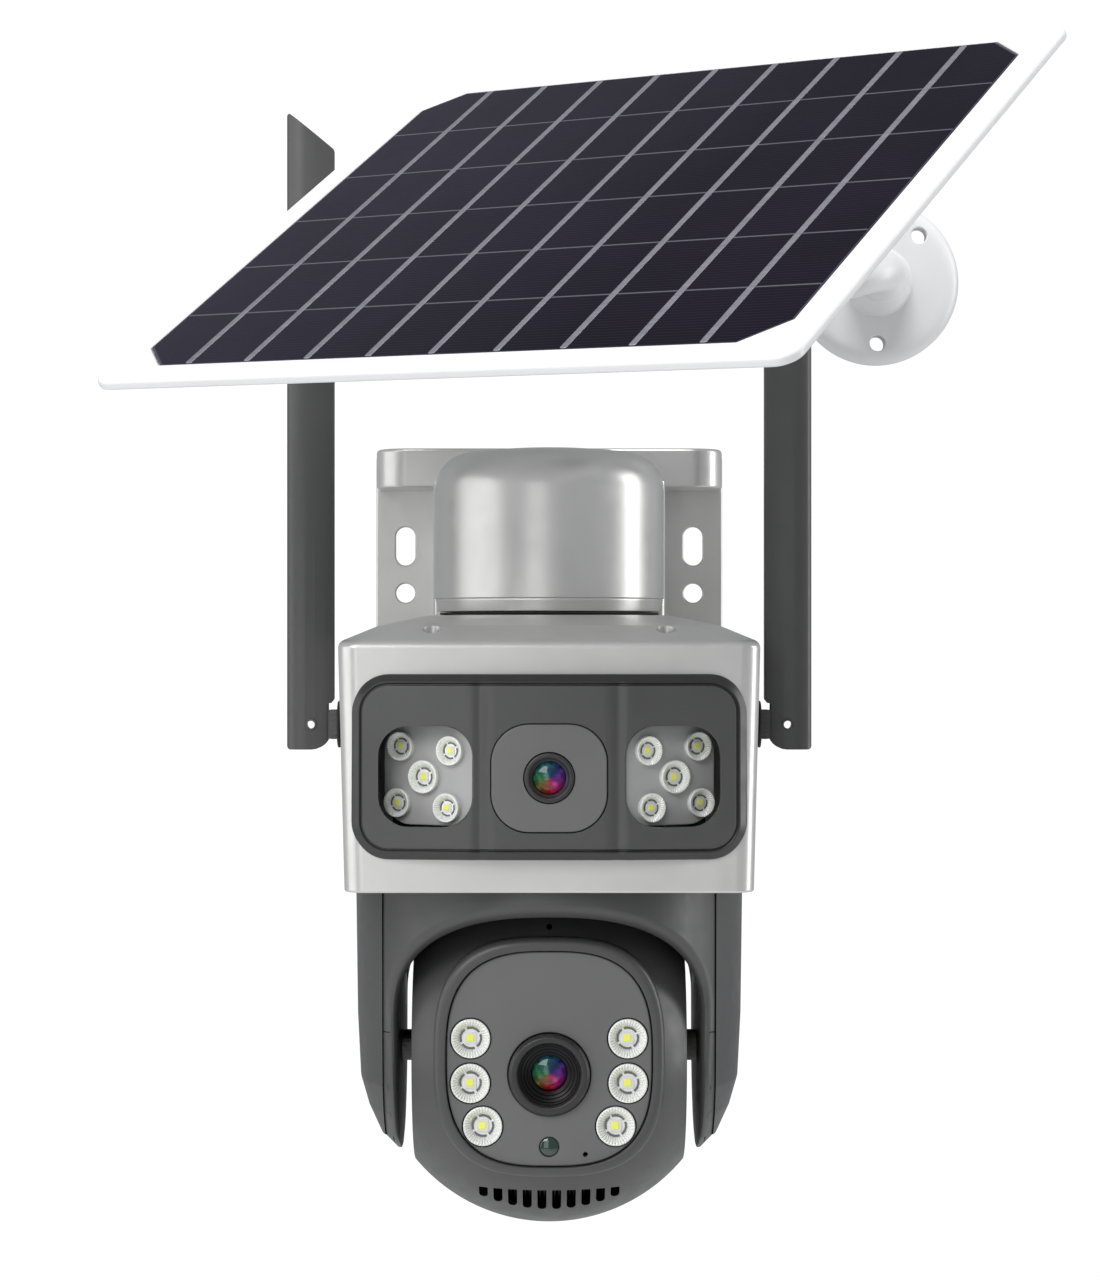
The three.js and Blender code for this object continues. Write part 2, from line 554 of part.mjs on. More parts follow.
function buildYoke() {
  const [nearY, farY] = [PAN_Y - 61, PAN_Y + 61];
  const tools = [
    ballSphere(BALL_CAVITY, BALL_SIDES),
    archPrism(0, PAN_Y - 90, 0, PAN_Y + 90),
    archPrism(ARCH.flare, nearY - 3, 0, nearY + ARCH.flareDepth),
    archPrism(0, farY - ARCH.flareDepth, ARCH.flare, farY + 3),
    solid(rod(YOKE_HUB.bore, -110, -70).translate(0, PAN_Y, 0)),
  ];
  for (const side of [-1, 1]) {
    const [x0, x1] = side > 0 ? [YOKE.coverX, 90] : [-90, -YOKE.coverX];
    tools.push(box(x0, x1, PAN_Y - 90, PAN_Y + 90, YOKE.coverBottom - GAP, YOKE.coverTop + GAP));
    tools.push(driveRoom(side, TILT_TEETH, BALL.z));
  }
  tools.push(driveRoom(1, PINION_TEETH, tiltPinionZ()));
  tools.push(solid(rod(AXLE_RADIUS + GAP, -70, 70, 'x', 24).translate(0, PAN_Y, BALL.z)));
  const hub = solid(rod(YOKE_HUB.radius, YOKE.top - 3, YOKE_HUB.top).translate(0, PAN_Y, 0));
  return cut(join(yokeRound(0, YOKE.bottom, YOKE.top), hub), ...tools);
}

function driveRoom(side, teeth, z) {
  const { innerX, outerX, clearance } = DRIVE_ROOM;
  const [from, to] = side > 0 ? [innerX, outerX] : [-outerX, -innerX];
  return solid(rod(pitchRadius(teeth) + clearance, from, to, 'x').translate(0, PAN_Y, z));
}

function tiltPinionZ() {
  return BALL.z + pitchRadius(TILT_TEETH + PINION_TEETH);
}

function buildSideCover(side) {
  const [top, bottom, wall] = [YOKE.coverTop, YOKE.coverBottom, SIDE_COVER_WALL];
  const [x0, x1] = side > 0 ? [YOKE.coverX + GAP, 90] : [-90, -YOKE.coverX - GAP];
  const block = yokeRound(0, bottom, top).intersect(box(x0, x1, -200, 50, bottom, top));
  return cut(block, yokeRound(wall, bottom + wall, top - wall));
}

function buildYokeSet() {
  addPart('yoke', 'charcoal', buildYoke());
  addPart('side_cover_left', 'charcoal', buildSideCover(-1));
  addPart('side_cover_right', 'charcoal', buildSideCover(1));
  const thick = PAN_WHEELS_THICK;
  const wheelZ = YOKE_HUB.top - 1 - thick;
  const panGear = gear(PAN_TEETH, YOKE_HUB.radius + GAP, thick, SIDES / 2);
  addPart('pan_gear', 'nylon', panGear.translate(0, PAN_Y, wheelZ));
  const pinion = gear(PINION_TEETH, PAN_MOTOR.shaft + GAP, thick).rotateZ(Math.PI + Math.PI / PINION_TEETH);
  addPart('pan_pinion', 'nylon', pinion.translate(pitchRadius(PAN_TEETH + PINION_TEETH), PAN_Y, wheelZ));
  const motor = join(
    solid(rod(TILT_MOTOR.radius, TILT_MOTOR.innerX, TILT_MOTOR.outerX, 'x', 24)),
    solid(rod(TILT_MOTOR.shaft, TILT_MOTOR.shaftX, TILT_MOTOR.innerX + 1, 'x', 12)),
  );
  addPart('tilt_motor', 'steel', geometryOf(motor).translate(0, PAN_Y, tiltPinionZ()));
}

// A gear lying in a plane across X, with its first tooth on +Z.
function sideGear(teeth, bore, from, thick) {
  const upright = new THREE.Matrix4().makeBasis(
    new THREE.Vector3(0, 0, 1),
    new THREE.Vector3(0, -1, 0),
    new THREE.Vector3(1, 0, 0),
  );
  return gear(teeth, bore, thick).applyMatrix4(upright).translate(from, 0, 0);
}

// ---------------------------------------------------------------- ball head
function ballSphere(radius, sides) {
  const sphere = new THREE.SphereGeometry(radius, sides, sides / 2);
  return solid(sphere.rotateX(Math.PI / 2).translate(0, PAN_Y, BALL.z));
}

function ballRound(radius, flatX, sides = BALL_SIDES) {
  return ballSphere(radius, sides).intersect(box(-flatX, flatX, -200, 50, -300, 0));
}

function facePrism(halfWidth, halfHeight, centreZ, backY, frontY, bevel = 0) {
  const outline = superellipse(halfWidth, halfHeight, FACE.power, 32);
  outline.forEach((p) => p.setY(p.y + centreZ));
  const depth = backY - frontY - bevel;
  const settings = { depth, bevelEnabled: bevel > 0, bevelSegments: 2 };
  Object.assign(settings, { bevelThickness: bevel, bevelSize: bevel, bevelOffset: -bevel });
  const geometry = new THREE.ExtrudeGeometry(new THREE.Shape(outline), settings);
  return solid(geometry.rotateX(Math.PI / 2).translate(0, backY, 0));
}

function buildBallFront() {
  const ring = facePrism(FACE.halfWidth, FACE.halfHeight, FACE.z, -100, FACE.frontY, 2.4);
  const outer = ballRound(BALL.radius, BALL.flatX).add(ring);
  const { halfWidth, halfHeight, z } = FACE_PANEL;
  const doorway = facePrism(halfWidth + GAP, halfHeight + GAP, z, -85, -140);
  const tools = [ballRound(BALL.radius - BALL.wall, BALL.flatX - BALL.wall, CAVITY_SIDES), doorway];
  for (let i = 0; i < VENT.count; i++) {
    const x = (i - (VENT.count - 1) / 2) * VENT.pitch;
    const outward = Math.abs(x) / (((VENT.count - 1) / 2) * VENT.pitch);
    const bottom = THREE.MathUtils.lerp(VENT.bottom, VENT.endBottom, outward ** 2);
    tools.push(box(x - VENT.width / 2, x + VENT.width / 2, -130, PAN_Y - 15, bottom, VENT.top));
  }
  tools.push(solid(rod(MIC_HOLE.radius, 90, 130, 'front', 8).translate(0, 0, MIC_HOLE.z)));
  tools.push(box(-90, 90, BALL.splitY - GAP / 2, 100, -300, 0));
  return cut(outer, ...tools);
}

function buildBallRear() {
  const outer = ballRound(BALL.radius, BALL.flatX);
  const tools = [
    ballRound(BALL.radius - BALL.wall, BALL.flatX - BALL.wall, CAVITY_SIDES),
    box(-90, 90, -200, BALL.splitY + GAP / 2, -300, 0),
    solid(rod(AXLE_BORE + 0.2, -70, 70, 'x', 20).translate(0, PAN_Y, BALL.z)),
  ];
  return cut(outer, ...tools);
}

function buildFacePanel() {
  const { halfWidth, halfHeight, z, frontY, thick } = FACE_PANEL;
  const plate = facePrism(halfWidth, halfHeight, z, frontY + thick, frontY);
  const tools = [
    solid(rod(BALL_LENS.radius + GAP, 90, 130, 'front').translate(0, 0, BALL_LENS.z)),
    solid(rod(SENSOR.radius + GAP, 90, 130, 'front', 16).translate(0, 0, SENSOR.z)),
    solid(rod(RESET_HOLE.radius, 90, 130, 'front', 10).translate(RESET_HOLE.x, 0, RESET_HOLE.z)),
  ];
  for (const [x, ledZ] of ballLedSpots()) {
    tools.push(solid(rod(BALL_LED_RADIUS + GAP + 0.15, 90, 130, 'front', 12).translate(x, 0, ledZ)));
  }
  return cut(plate, ...tools);
}

function ballLedSpots() {
  return [-1, 1].flatMap((side) => BALL_LEDS.map(([x, z]) => [side * x, z]));
}

function buildBall() {
  addPart('ball_front_shell', 'charcoal', buildBallFront());
  addPart('ball_rear_shell', 'charcoal', buildBallRear());
  addPart('face_panel', 'slate', buildFacePanel());
  const front = 123.2;
  const { radius, throat, glass, z } = BALL_LENS;
  const barrel = [[0, 104], [radius, 104], [radius, front - 1], [radius - 1, front], [throat + 1.4, front]];
  barrel.push([throat, front - 1.2], [glass + GAP, front - 5], [glass + GAP, front - 9], [0, front - 9]);
  addPart('ball_lens_barrel', 'charcoal', turned(barrel, 'front').translate(0, 0, z));
  const dome = [[0, front - 8.6], [glass, front - 8.6], [glass, front - 5.6]];
  dome.push([glass * 0.6, front - 4.8], [0, front - 4.5]);
  addPart('ball_lens_glass', 'glass', turned(dome, 'front', 24).translate(0, 0, z));
  ballLedSpots().forEach(([x, ledZ], i) => {
    const cup = addPart(`ball_reflector_${i + 1}`, 'reflector', reflectorCup(BALL_LED_RADIUS, 3.4));
    cup.position.set(x, FACE_PANEL.frontY + 3, ledZ);
  });
  const eye = [[0, 116], [SENSOR.radius, 116], [SENSOR.radius, 120.7], [0, 121]];
  addPart('light_sensor', 'glass', turned(eye, 'front', 16).translate(0, 0, SENSOR.z));
  addPart('ball_board', 'board', frontPlate(roundedRect(54, 54, 6, 0, BALL.z), -100, BOARD_THICK, 2));
  const axle = tube(AXLE_RADIUS, AXLE_BORE, -48.8, -BALL.flatX - GAP, 'x', 24);
  addPart('tilt_axle_left', 'steel', axle.translate(0, PAN_Y, BALL.z));
  const stub = solid(rod(AXLE_RADIUS, BALL.flatX + GAP, 50, 'x', 24));
  const { from, thick } = TILT_WHEELS;
  const wheel = solid(sideGear(TILT_TEETH, AXLE_BORE, from, thick));
  const drive = cut(join(stub, wheel), solid(rod(AXLE_BORE, 30, 60, 'x', 20)));
  addPart('tilt_gear', 'nylon', geometryOf(drive).translate(0, PAN_Y, BALL.z));
  const pinion = sideGear(PINION_TEETH, TILT_MOTOR.shaft + GAP, from, thick);
  pinion.rotateX(Math.PI + Math.PI / PINION_TEETH);
  addPart('tilt_pinion', 'nylon', pinion.translate(0, PAN_Y, tiltPinionZ()));
}

// ---------------------------------------------------------------- antennas
// Drawn for the right-hand antenna; the left one is its mirror image.
function bladeOutline() {
  const { innerX, neckX, outerX } = ANTENNA;
  const { z, step } = ANTENNA_FOOT;
  const { inner: innerCorner, outer: outerCorner } = FOOT_CORNER;
  const shape = new THREE.Shape();
  shape.moveTo(neckX + innerCorner, z);
  shape.lineTo(outerX - outerCorner, z);
  shape.lineTo(outerX, z + outerCorner);
  shape.lineTo(outerX, ANTENNA_TIP.outer);
  shape.lineTo(innerX, ANTENNA_TIP.inner);
  shape.lineTo(innerX, step + 1.6);
  shape.lineTo(neckX, step);
  shape.lineTo(neckX, z + innerCorner);
  shape.absarc(neckX + innerCorner, z + innerCorner, innerCorner, Math.PI, Math.PI * 1.5);
  return shape;
}

function mirrored(geometry) {
  const flipped = geometry.clone().scale(-1, 1, 1);
  const index = flipped.index.array;
  for (let i = 0; i < index.length; i += 3) {
    [index[i], index[i + 1]] = [index[i + 1], index[i]];
  }
  return flipped;
}

function buildBlade() {
  const { y, thick, pinX, pinZ, innerX, outerX } = ANTENNA;
  const blank = solid(frontPlate(bladeOutline(), y + thick / 2, thick));
  const { slotHalf, slotTop } = ANTENNA_FOOT;
  const slot = box(innerX - 5, outerX - 2.4, y - slotHalf, y + slotHalf, -80, slotTop);
  const pinHole = solid(rod(PIVOT_PIN.radius + GAP, -120, 120, 'front', 16).translate(pinX, 0, pinZ));
  return geometryOf(cut(blank, slot, pinHole));
}

function buildKnuckle() {
  const { pinX, pinZ, y } = ANTENNA;
  const { half, radius, startX } = TONGUE;
  const bar = box(startX, pinX, y - half, y + half, pinZ - radius, pinZ + radius);
  const eye = solid(rod(radius, -y - half, -y + half, 'front', 20).translate(pinX, 0, pinZ));
  const shaft = solid(rod(SWIVEL_SHAFT_RADIUS, 60, startX + 1, 'x', 16).translate(0, y, pinZ));
  const reach = ANTENNA.thick / 2;
  const pin = solid(rod(PIVOT_PIN.radius, -y - reach, -y + reach, 'front', 16).translate(pinX, 0, pinZ));
  const bore = solid(rod(PIVOT_PIN.bore, 0, 120, 'front', 12).translate(pinX, 0, pinZ));
  return geometryOf(cut(join(bar, eye, shaft, pin), bore));
}

function buildAntennas() {
  const { innerX, outerX, radius } = WASHER;
  const ring = geometryOf(solid(tube(radius, SWIVEL_SHAFT_RADIUS + GAP, innerX, outerX, 'x', 24)));
  const washer = ring.translate(0, ANTENNA.y, ANTENNA.pinZ);
  const pieces = { antenna_washer: [washer, 'rubber'] };
  pieces.antenna_knuckle = [buildKnuckle(), 'charcoal'];
  pieces.antenna_blade = [buildBlade(), 'charcoal'];
  for (const [name, [geometry, finish]] of Object.entries(pieces)) {
    addPart(`${name}_right`, finish, geometry);
    addPart(`${name}_left`, finish, mirrored(geometry));
  }
}

// ---------------------------------------------------------------- solar panel and its arm
const panelFrame = new THREE.Group();
panelFrame.rotation.set(
  THREE.MathUtils.degToRad(PANEL_PITCH),
  THREE.MathUtils.degToRad(PANEL_ROLL),
  THREE.MathUtils.degToRad(PANEL_YAW),
  'ZYX',
);
panelFrame.position.copy(PANEL_CENTRE);
const panelTurn = new THREE.Matrix4().makeRotationFromEuler(panelFrame.rotation);
const tiltPin = new THREE.Vector3(0, PIVOT.up, -PIVOT.below).applyMatrix4(panelTurn).add(PANEL_CENTRE);

function buildPanelRim() {
  const [outerWidth, outerHeight] = [CELLS.width + 2 * RIM.border, CELLS.height + 2 * RIM.border];
  const slab = solid(flatPlate(roundedRect(outerWidth, outerHeight, RIM.corner), -RIM.thick, RIM.thick, 4));
  const trayRing = (inset, z) => {
    const [a, b] = [outerWidth / 2 - inset, outerHeight / 2 - inset];
    return superellipse(a, b, 14, 24).map((p) => new THREE.Vector3(p.x, p.y, z));
  };
  const trayBottom = trayRing(TRAY.inset + TRAY.taper, -RIM.thick - TRAY.depth);
  const tray = solid(loft([trayBottom, trayRing(TRAY.inset, -CELLS.recess - GAP)]));
  const recess = solid(flatPlate(chamferedRect(CELLS.width, CELLS.height, CELLS.corner), -CELLS.recess, 5));
  return cut(join(slab, tray), recess);
}

function buildClevis(back) {
  const { footHalfX, footHalfY, footThick, earInner, earThick, earRadius } = CLEVIS;
  const [low, high] = [PIVOT.up - footHalfY, PIVOT.up + footHalfY];
  const foot = box(-footHalfX, footHalfX, low, high, back - footThick, back);
  const ears = [-1, 1].map((side) => {
    const [x0, x1] = [side * earInner, side * (earInner + earThick)].sort((a, b) => a - b);
    const web = box(x0, x1, PIVOT.up - earRadius, PIVOT.up + earRadius, -PIVOT.below, back - 1);
    const eye = solid(rod(earRadius, x0, x1, 'x', 16).translate(0, PIVOT.up, -PIVOT.below));
    return web.add(eye);
  });
  const pinHole = solid(rod(TILT_PIN.radius + GAP, -40, 40, 'x', 16).translate(0, PIVOT.up, -PIVOT.below));
  return cut(join(foot, ...ears), pinHole);
}

function buildJunctionBox(back) {
  const { width, height, depth, y, gland, glandEnd, bore } = JUNCTION;
  const housing = solid(flatPlate(roundedRect(width, height, 4, 0, y), back - depth, depth));
  const stub = solid(rod(gland, width / 2 - 4, glandEnd, 'x', 12).translate(0, y, back - depth / 2));
  const hole = solid(rod(bore, width / 2 + 2, glandEnd + 6, 'x', 10).translate(0, y, back - depth / 2));
  return cut(join(housing, stub), hole);
}

function buildPanel() {
  addPart('panel_frame', 'white', buildPanelRim(), panelFrame);
  const sheetShape = chamferedRect(CELLS.width - 2 * GAP, CELLS.height - 2 * GAP, CELLS.corner);
  addPart('solar_cells', 'cells', flatPlate(sheetShape, GAP - CELLS.recess, CELLS.thick), panelFrame);
  const back = -RIM.thick - TRAY.depth - GAP;
  addPart('panel_clevis', 'white', buildClevis(back), panelFrame);
  addPart('junction_box', 'rubber', buildJunctionBox(back), panelFrame);
  camera.add(panelFrame);
}

// Knuckle on the arm's spigot: it turns about the vertical and carries the tilt pin.
function buildSwivel() {
  const swivel = new THREE.Group();
  swivel.position.copy(tiltPin);
  swivel.rotation.z = THREE.MathUtils.degToRad(PANEL_YAW);
  const roll = THREE.MathUtils.degToRad(PANEL_ROLL);
  const { halfX, halfY, below } = TONGUE_BLOCK;
  const tongue = box(-halfX, halfX, -halfY, halfY, -below, 0);
  const eye = solid(rod(halfY, -halfX - 0.4, halfX + 0.4, 'x', 16).rotateY(roll));
  const { radius, half, headRadius, headThick } = TILT_PIN;
  const pin = solid(rod(radius, -half, half, 'x', 16).rotateY(roll));
  const heads = [-1, 1].map((side) => {
    const head = rod(headRadius, half - 1.2, half - 1.2 + headThick, 'x', 6).scale(side, 1, side);
    return solid(head.rotateY(roll));
  });
  const socket = solid(rod(SOCKET.radius, -SOCKET.bottom, -SOCKET.top));
  const bore = solid(rod(HUB.spigot + GAP, -30, -SOCKET.boreTop, 'z', 20));
  addPart('panel_knuckle', 'white', cut(join(tongue, eye, pin, ...heads, socket), bore), swivel);
  camera.add(swivel);
}

// Straight runs joined by rounded corners.
function bentPath(corners, radius) {
  const path = new THREE.CurvePath();
  const towards = (from, to) => from.clone().add(to.clone().sub(from).setLength(radius));
  let start = corners[0];
  for (let i = 1; i < corners.length - 1; i++) {
    const entry = towards(corners[i], corners[i - 1]);
    const exit = towards(corners[i], corners[i + 1]);
    path.add(new THREE.LineCurve3(start, entry));
    path.add(new THREE.QuadraticBezierCurve3(entry, corners[i], exit));
    start = exit;
  }
  path.add(new THREE.LineCurve3(start, corners[corners.length - 1]));
  return path;
}

function buildPanelArm() {
  const { base, top, radius, spigot, spigotTop, armZ } = HUB;
  const path = bentPath(
    [
      new THREE.Vector3(WALL_DISC.x, BOSS.front - GAP, WALL_DISC.z),
      new THREE.Vector3(WALL_DISC.x, ARM.outY, WALL_DISC.z),
      new THREE.Vector3(ARM.elbow.x, ARM.elbow.y, ARM.elbow.z),
      new THREE.Vector3(tiltPin.x, tiltPin.y, tiltPin.z - armZ),
    ],
    ARM.bend,
  );
  const section = new THREE.Shape(superellipse(ARM.radius, ARM.radius, 2, 10));
  const pipe = solid(new THREE.ExtrudeGeometry(section, { steps: ARM.steps, extrudePath: path }));
  const hub = solid(rod(radius, -base, -top).translate(tiltPin.x, tiltPin.y, tiltPin.z));
  const stub = solid(rod(spigot, 4 - base, -spigotTop, 'z', 20).translate(tiltPin.x, tiltPin.y, tiltPin.z));
  return join(pipe, hub, stub);
}

function buildWallDisc() {
  const { radius, thick, x, z, holeCircle, hole } = WALL_DISC;
  const front = -BOSS.front;
  const profile = [[0, 0], [radius, 0], [radius, thick - 3], [radius - 3, thick], [BOSS.radius, thick]];
  profile.push([BOSS.tip, front], [0, front]);
  const disc = solid(turned(profile, 'front', 32));
  const holes = DISC_HOLE_ANGLES.map((angle) => {
    const turn = THREE.MathUtils.degToRad(angle);
    const [across, up] = [holeCircle * Math.cos(turn), holeCircle * Math.sin(turn)];
    return solid(rod(hole, -5, 20, 'front', 12).translate(across, 0, up));
  });
  return geometryOf(cut(disc, ...holes)).translate(x, 0, z);
}

buildMountingPieces();
buildHousing();
buildYokeSet();
buildBall();
buildAntennas();
buildPanel();
buildSwivel();
addPart('panel_arm', 'white', buildPanelArm());
addPart('panel_wall_disc', 'white', buildWallDisc());

export default camera;
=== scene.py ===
"""Looks of the solar-powered security camera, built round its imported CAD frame.

Sizes are in millimetres in the row frame: +Z up, the camera looks along -Y, the wall is y = 0.
"""

import json
import math

import bmesh
import bpy
from mathutils import Euler, Matrix, Vector


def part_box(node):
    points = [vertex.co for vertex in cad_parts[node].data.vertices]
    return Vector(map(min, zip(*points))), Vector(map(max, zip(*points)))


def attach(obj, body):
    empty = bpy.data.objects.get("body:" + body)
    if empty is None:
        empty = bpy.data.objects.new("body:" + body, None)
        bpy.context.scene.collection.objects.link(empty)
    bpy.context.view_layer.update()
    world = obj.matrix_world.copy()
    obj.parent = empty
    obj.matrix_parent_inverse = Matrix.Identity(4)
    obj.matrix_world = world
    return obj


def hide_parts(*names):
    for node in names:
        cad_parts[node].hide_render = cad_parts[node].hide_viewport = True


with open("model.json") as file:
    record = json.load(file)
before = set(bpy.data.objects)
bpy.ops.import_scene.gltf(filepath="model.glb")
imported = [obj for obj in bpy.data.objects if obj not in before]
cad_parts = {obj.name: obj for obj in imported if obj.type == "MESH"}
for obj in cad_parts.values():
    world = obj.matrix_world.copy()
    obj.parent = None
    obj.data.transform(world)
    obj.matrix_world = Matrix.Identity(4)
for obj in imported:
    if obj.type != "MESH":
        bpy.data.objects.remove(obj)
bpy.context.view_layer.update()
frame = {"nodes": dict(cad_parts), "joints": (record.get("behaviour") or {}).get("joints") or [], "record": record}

MM = 0.001

# ---------------------------------------------------------------- places taken from the frame


class Place:
    """Box of a CAD node, in millimetres."""

    def __init__(self, node):
        low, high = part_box(node)
        self.low = low / MM
        self.high = high / MM
        self.mid = (self.low + self.high) / 2
        self.size = self.high - self.low


PIN = {joint["name"]: Vector(joint["pos_m"]) / MM for joint in frame["joints"]}
PAN_Y = PIN["pan"].y
BALL_CENTRE = PIN["tilt"]
TILT_PIN = PIN["panel_tilt"]
DOME_RADIUS = Place("dome_cap").size.x / 2

# ---------------------------------------------------------------- driving dimensions
GAP = 0.3
FAR = 90
SIDES = ((-1, "left"), (1, "right"))

# wall bracket
PLATE_THICK = 3
PLATE_CORNER = 4
BAND = {"half": 58.7, "depth": 30, "height": 13.1, "top": 38.6, "corner": 11}
SADDLE = {"half": 38.3, "wall": 4, "bottom": -32}
SCREW_HOLE = {"x": 49.7, "z": -9.8, "radius": 3.3}
SCREW_SLOT = {"x": 49.7, "z": 6.4, "width": 6.7, "length": 13.3}

# dome and housing
DOME = {"corner": 12, "crown": 1.5, "rise": 1.1, "wall": 2.5, "band": 4.3}
SKIRT_HALF = 65
EAVES_Z = -26.7
ROOF_BREAK = {"x": 54.4, "y": 52, "z": -21.6}
ROOF_FLAT = 38.5
ROOF_HOLE = 12
ROOF_RECESS = {"x": 35.5, "y": -130, "half": 2.9, "floor": -26}
HOUSING_CORNER = 6
HOUSING_WALL = 2.6
TAPER = {"start": 10, "run": 55, "share": 0.055}
INLET_HOLE = 4.2
SHAFT_RADIUS = 2.5

# bezel and fixed camera
BEZEL = {"half_x": 59.4, "half_z": 27.8, "corner": 11.4, "chamfer": 2.9, "wall": 2.2}
FOLD_X = 20.5
FOLD_ROUND = 1.2
FOLD_GROOVE = 0.75
FOLD_CUTS = (-4, -3, -2, -1.4, -1, -0.5, 0, 0.5, 1, 1.4, 2, 3, 4)
SWEEP = math.tan(math.radians(7))
COVER_CORNER = 11.3
WINDOW = {"x": 37.1, "z": -66.8, "width": 28.2, "height": 30.2, "corner": 9}
LED_BOARD = {"x": 37.4, "y": -136, "z": -67.2, "yaw": 28, "width": 32.4, "height": 31.3, "corner": 9}
LED_BOARD_SHIFT = (1.8, 1.05)
LED_PITCH = 17.2
LED_TURN = 3.7
LED_RADIUS = 4.4
LED_MIDDLE_RADIUS = 5
LED_DEPTH = 1.9
FLUTE_DEPTH = 0.1

# fork
YOKE_PROFILE = [(61.6, -94), (60.9, -145), (59.9, -165), (57.3, -174), (53.2, -183), (48.4, -188)]
YOKE_HUB = {"radius": 15, "bore": 10, "top": -83}
ARM_INNER_X = 47
COVER_SEAM = {"x": 51.6, "top": -104, "bottom": -183}
COVER_PROUD = 0.5
ARCH = {"top": -110.3, "spring": -143, "power": 2.4, "low": -191, "fade": 0.65}
ARCH_FILLET = {"across": 4.6, "deep": 8}
BALL_CAVITY = 57.2
ARM_SEAM = {"z": -147.7, "width": 0.35, "deep": 0.6}
GEAR_ROOM = 16.4
PINION = {"room": 9.2, "z": -134.5}
AXLE_HOLE = {"fork": 5.3, "ball": 3.2}

# ball head
BALL = {"radius": 55.9, "flat": 42.7, "wall": 2.5, "split_y": -84}
FACE = {"half_x": 35.5, "half_z": 36.7, "z": -153.9, "front": -122, "power": 2.85, "edge": 2.4}
PANEL_FACE = {"half_x": 31.5, "half_z": 32.9, "z": -154.4}
VENT = {"count": 10, "pitch": 4.55, "width": 2.8, "top": -195.8, "bottom": -203.4, "end_bottom": -199.6}
MIC_HOLE_Z = -114.7
RESET_HOLE = (11.1, -183.7)
PINHOLE = 0.9

# antennas
BLADE = {"inner": 68.9, "neck": 70.2, "outer": 83.9, "thick": 9}
BLADE_TIP = {"outer": 143, "inner": 131}
BLADE_FOOT = {"z": -61, "step": -46.5, "slot_top": -46.2, "slot_half": 2.9, "corner": 5.7}
BLADE_PIN = {"radius": 1.9, "bore": 1.2}
TONGUE = {"half": 2.6, "radius": 4.6, "start": 68}
COLLAR = {"ribs": 18, "rib": 0.12}

# solar panel and its arm
PANEL_EULER = (33.6, 1.1, -33)
PANEL_PIVOT = Vector((0, 25, -25))
RIM = {"corner": 6.5, "thick": 3, "edge": 1.2}
TRAY = {"inset": 12, "taper": 5, "depth": 6}
CELL_CORNER = 11
CELL_RECESS = 1.6
CELL_GRID = (10, 6)
BUSBAR_WIDTH = 2.1
CELL_GAP = 0.7
DISC = {"thick": 8, "edge": 3, "rim": 5.2, "hole_circle": 21.3, "hole": 2.7, "angles": (-90, 48, 132)}
BOSS = {"radius": 11.4, "tip": 8.6, "front": 22}
ARM = {"radius": 6, "root": 8.4, "out_y": -40, "elbow": (56, -42, 81), "bend": 13}
ARM_HUB = {"radius": 8.5, "top": 20.3, "base": 34.5, "spigot": 4.7, "spigot_top": 12, "arm_drop": 27.6}

# painted reflection: coloured reflections of the lens coatings round their face: green, olive, red, magenta,
# purple, blue, teal, green
COATING_REFLECTION_HUES = [
    (0.0, (0.02, 0.16, 0.06)),
    (0.12, (0.14, 0.11, 0.02)),
    (0.25, (0.42, 0.02, 0.03)),
    (0.38, (0.42, 0.015, 0.2)),
    (0.5, (0.12, 0.02, 0.24)),
    (0.63, (0.015, 0.03, 0.16)),
    (0.8, (0.01, 0.12, 0.13)),
    (1.0, (0.02, 0.16, 0.06)),
]

# stage: floor and camera in millimetres, lights in metres and watts
FLOOR = {"radius": 2100, "top": -750, "thick": 10}
CAMERA = {"spot": (0.24, -1040, -26), "sensor": 36, "lens": 36 * 3000 / 1280}
LIGHT_TARGET = (0, -0.1, -0.03)
KEY_COLOUR = (1, 0.995, 0.98)
LIGHTS = {
    "key_upper_left": {"spot": (-0.75, -1.5, 0.9), "size": (1.1, 0.8), "power": 15, "colour": KEY_COLOUR},
    "front_fill": {"spot": (-0.45, -2.1, 0.05), "size": (0.7, 1.4), "power": 4},
    "broad_left": {"spot": (-1.75, -0.6, 0.1), "size": (1.7, 1.3), "power": 10},
    "edge_right": {"spot": (1.7, -0.05, 0.2), "size": (0.5, 1.4), "power": 12},
    "top": {"spot": (0.0, -0.75, 1.5), "size": (0.8, 0.45), "power": 20},
}
WORLD = {"around": (0.95, 0.97, 1.0, 1), "around_strength": 0.36, "behind_strength": 1.05}

# ---------------------------------------------------------------- shapes: (points, faces) in millimetres


def on_front(u, v, depth):
    return (u, depth, v)


def on_flat(u, v, depth):
    return (u, v, depth)


def on_side(u, v, depth):
    return (depth, u, v)


def circle(count):
    """Cosine and sine at even steps round a full turn."""
    angles = [2 * math.pi * i / count for i in range(count)]
    return [(math.cos(angle), math.sin(angle)) for angle in angles]


def quarter(steps):
    """Cosine and sine at even steps over a quarter turn, both ends included."""
    angles = [math.pi / 2 * i / steps for i in range(steps + 1)]
    return [(math.cos(angle), math.sin(angle)) for angle in angles]


def arc_step(start, end, share):
    """Point on the arc from start to end, both measured from the arc's centre."""
    angle = start.angle(end)
    if angle < 1e-4:
        return start.lerp(end, share)
    return (start * math.sin((1 - share) * angle) + end * math.sin(share * angle)) / math.sin(angle)


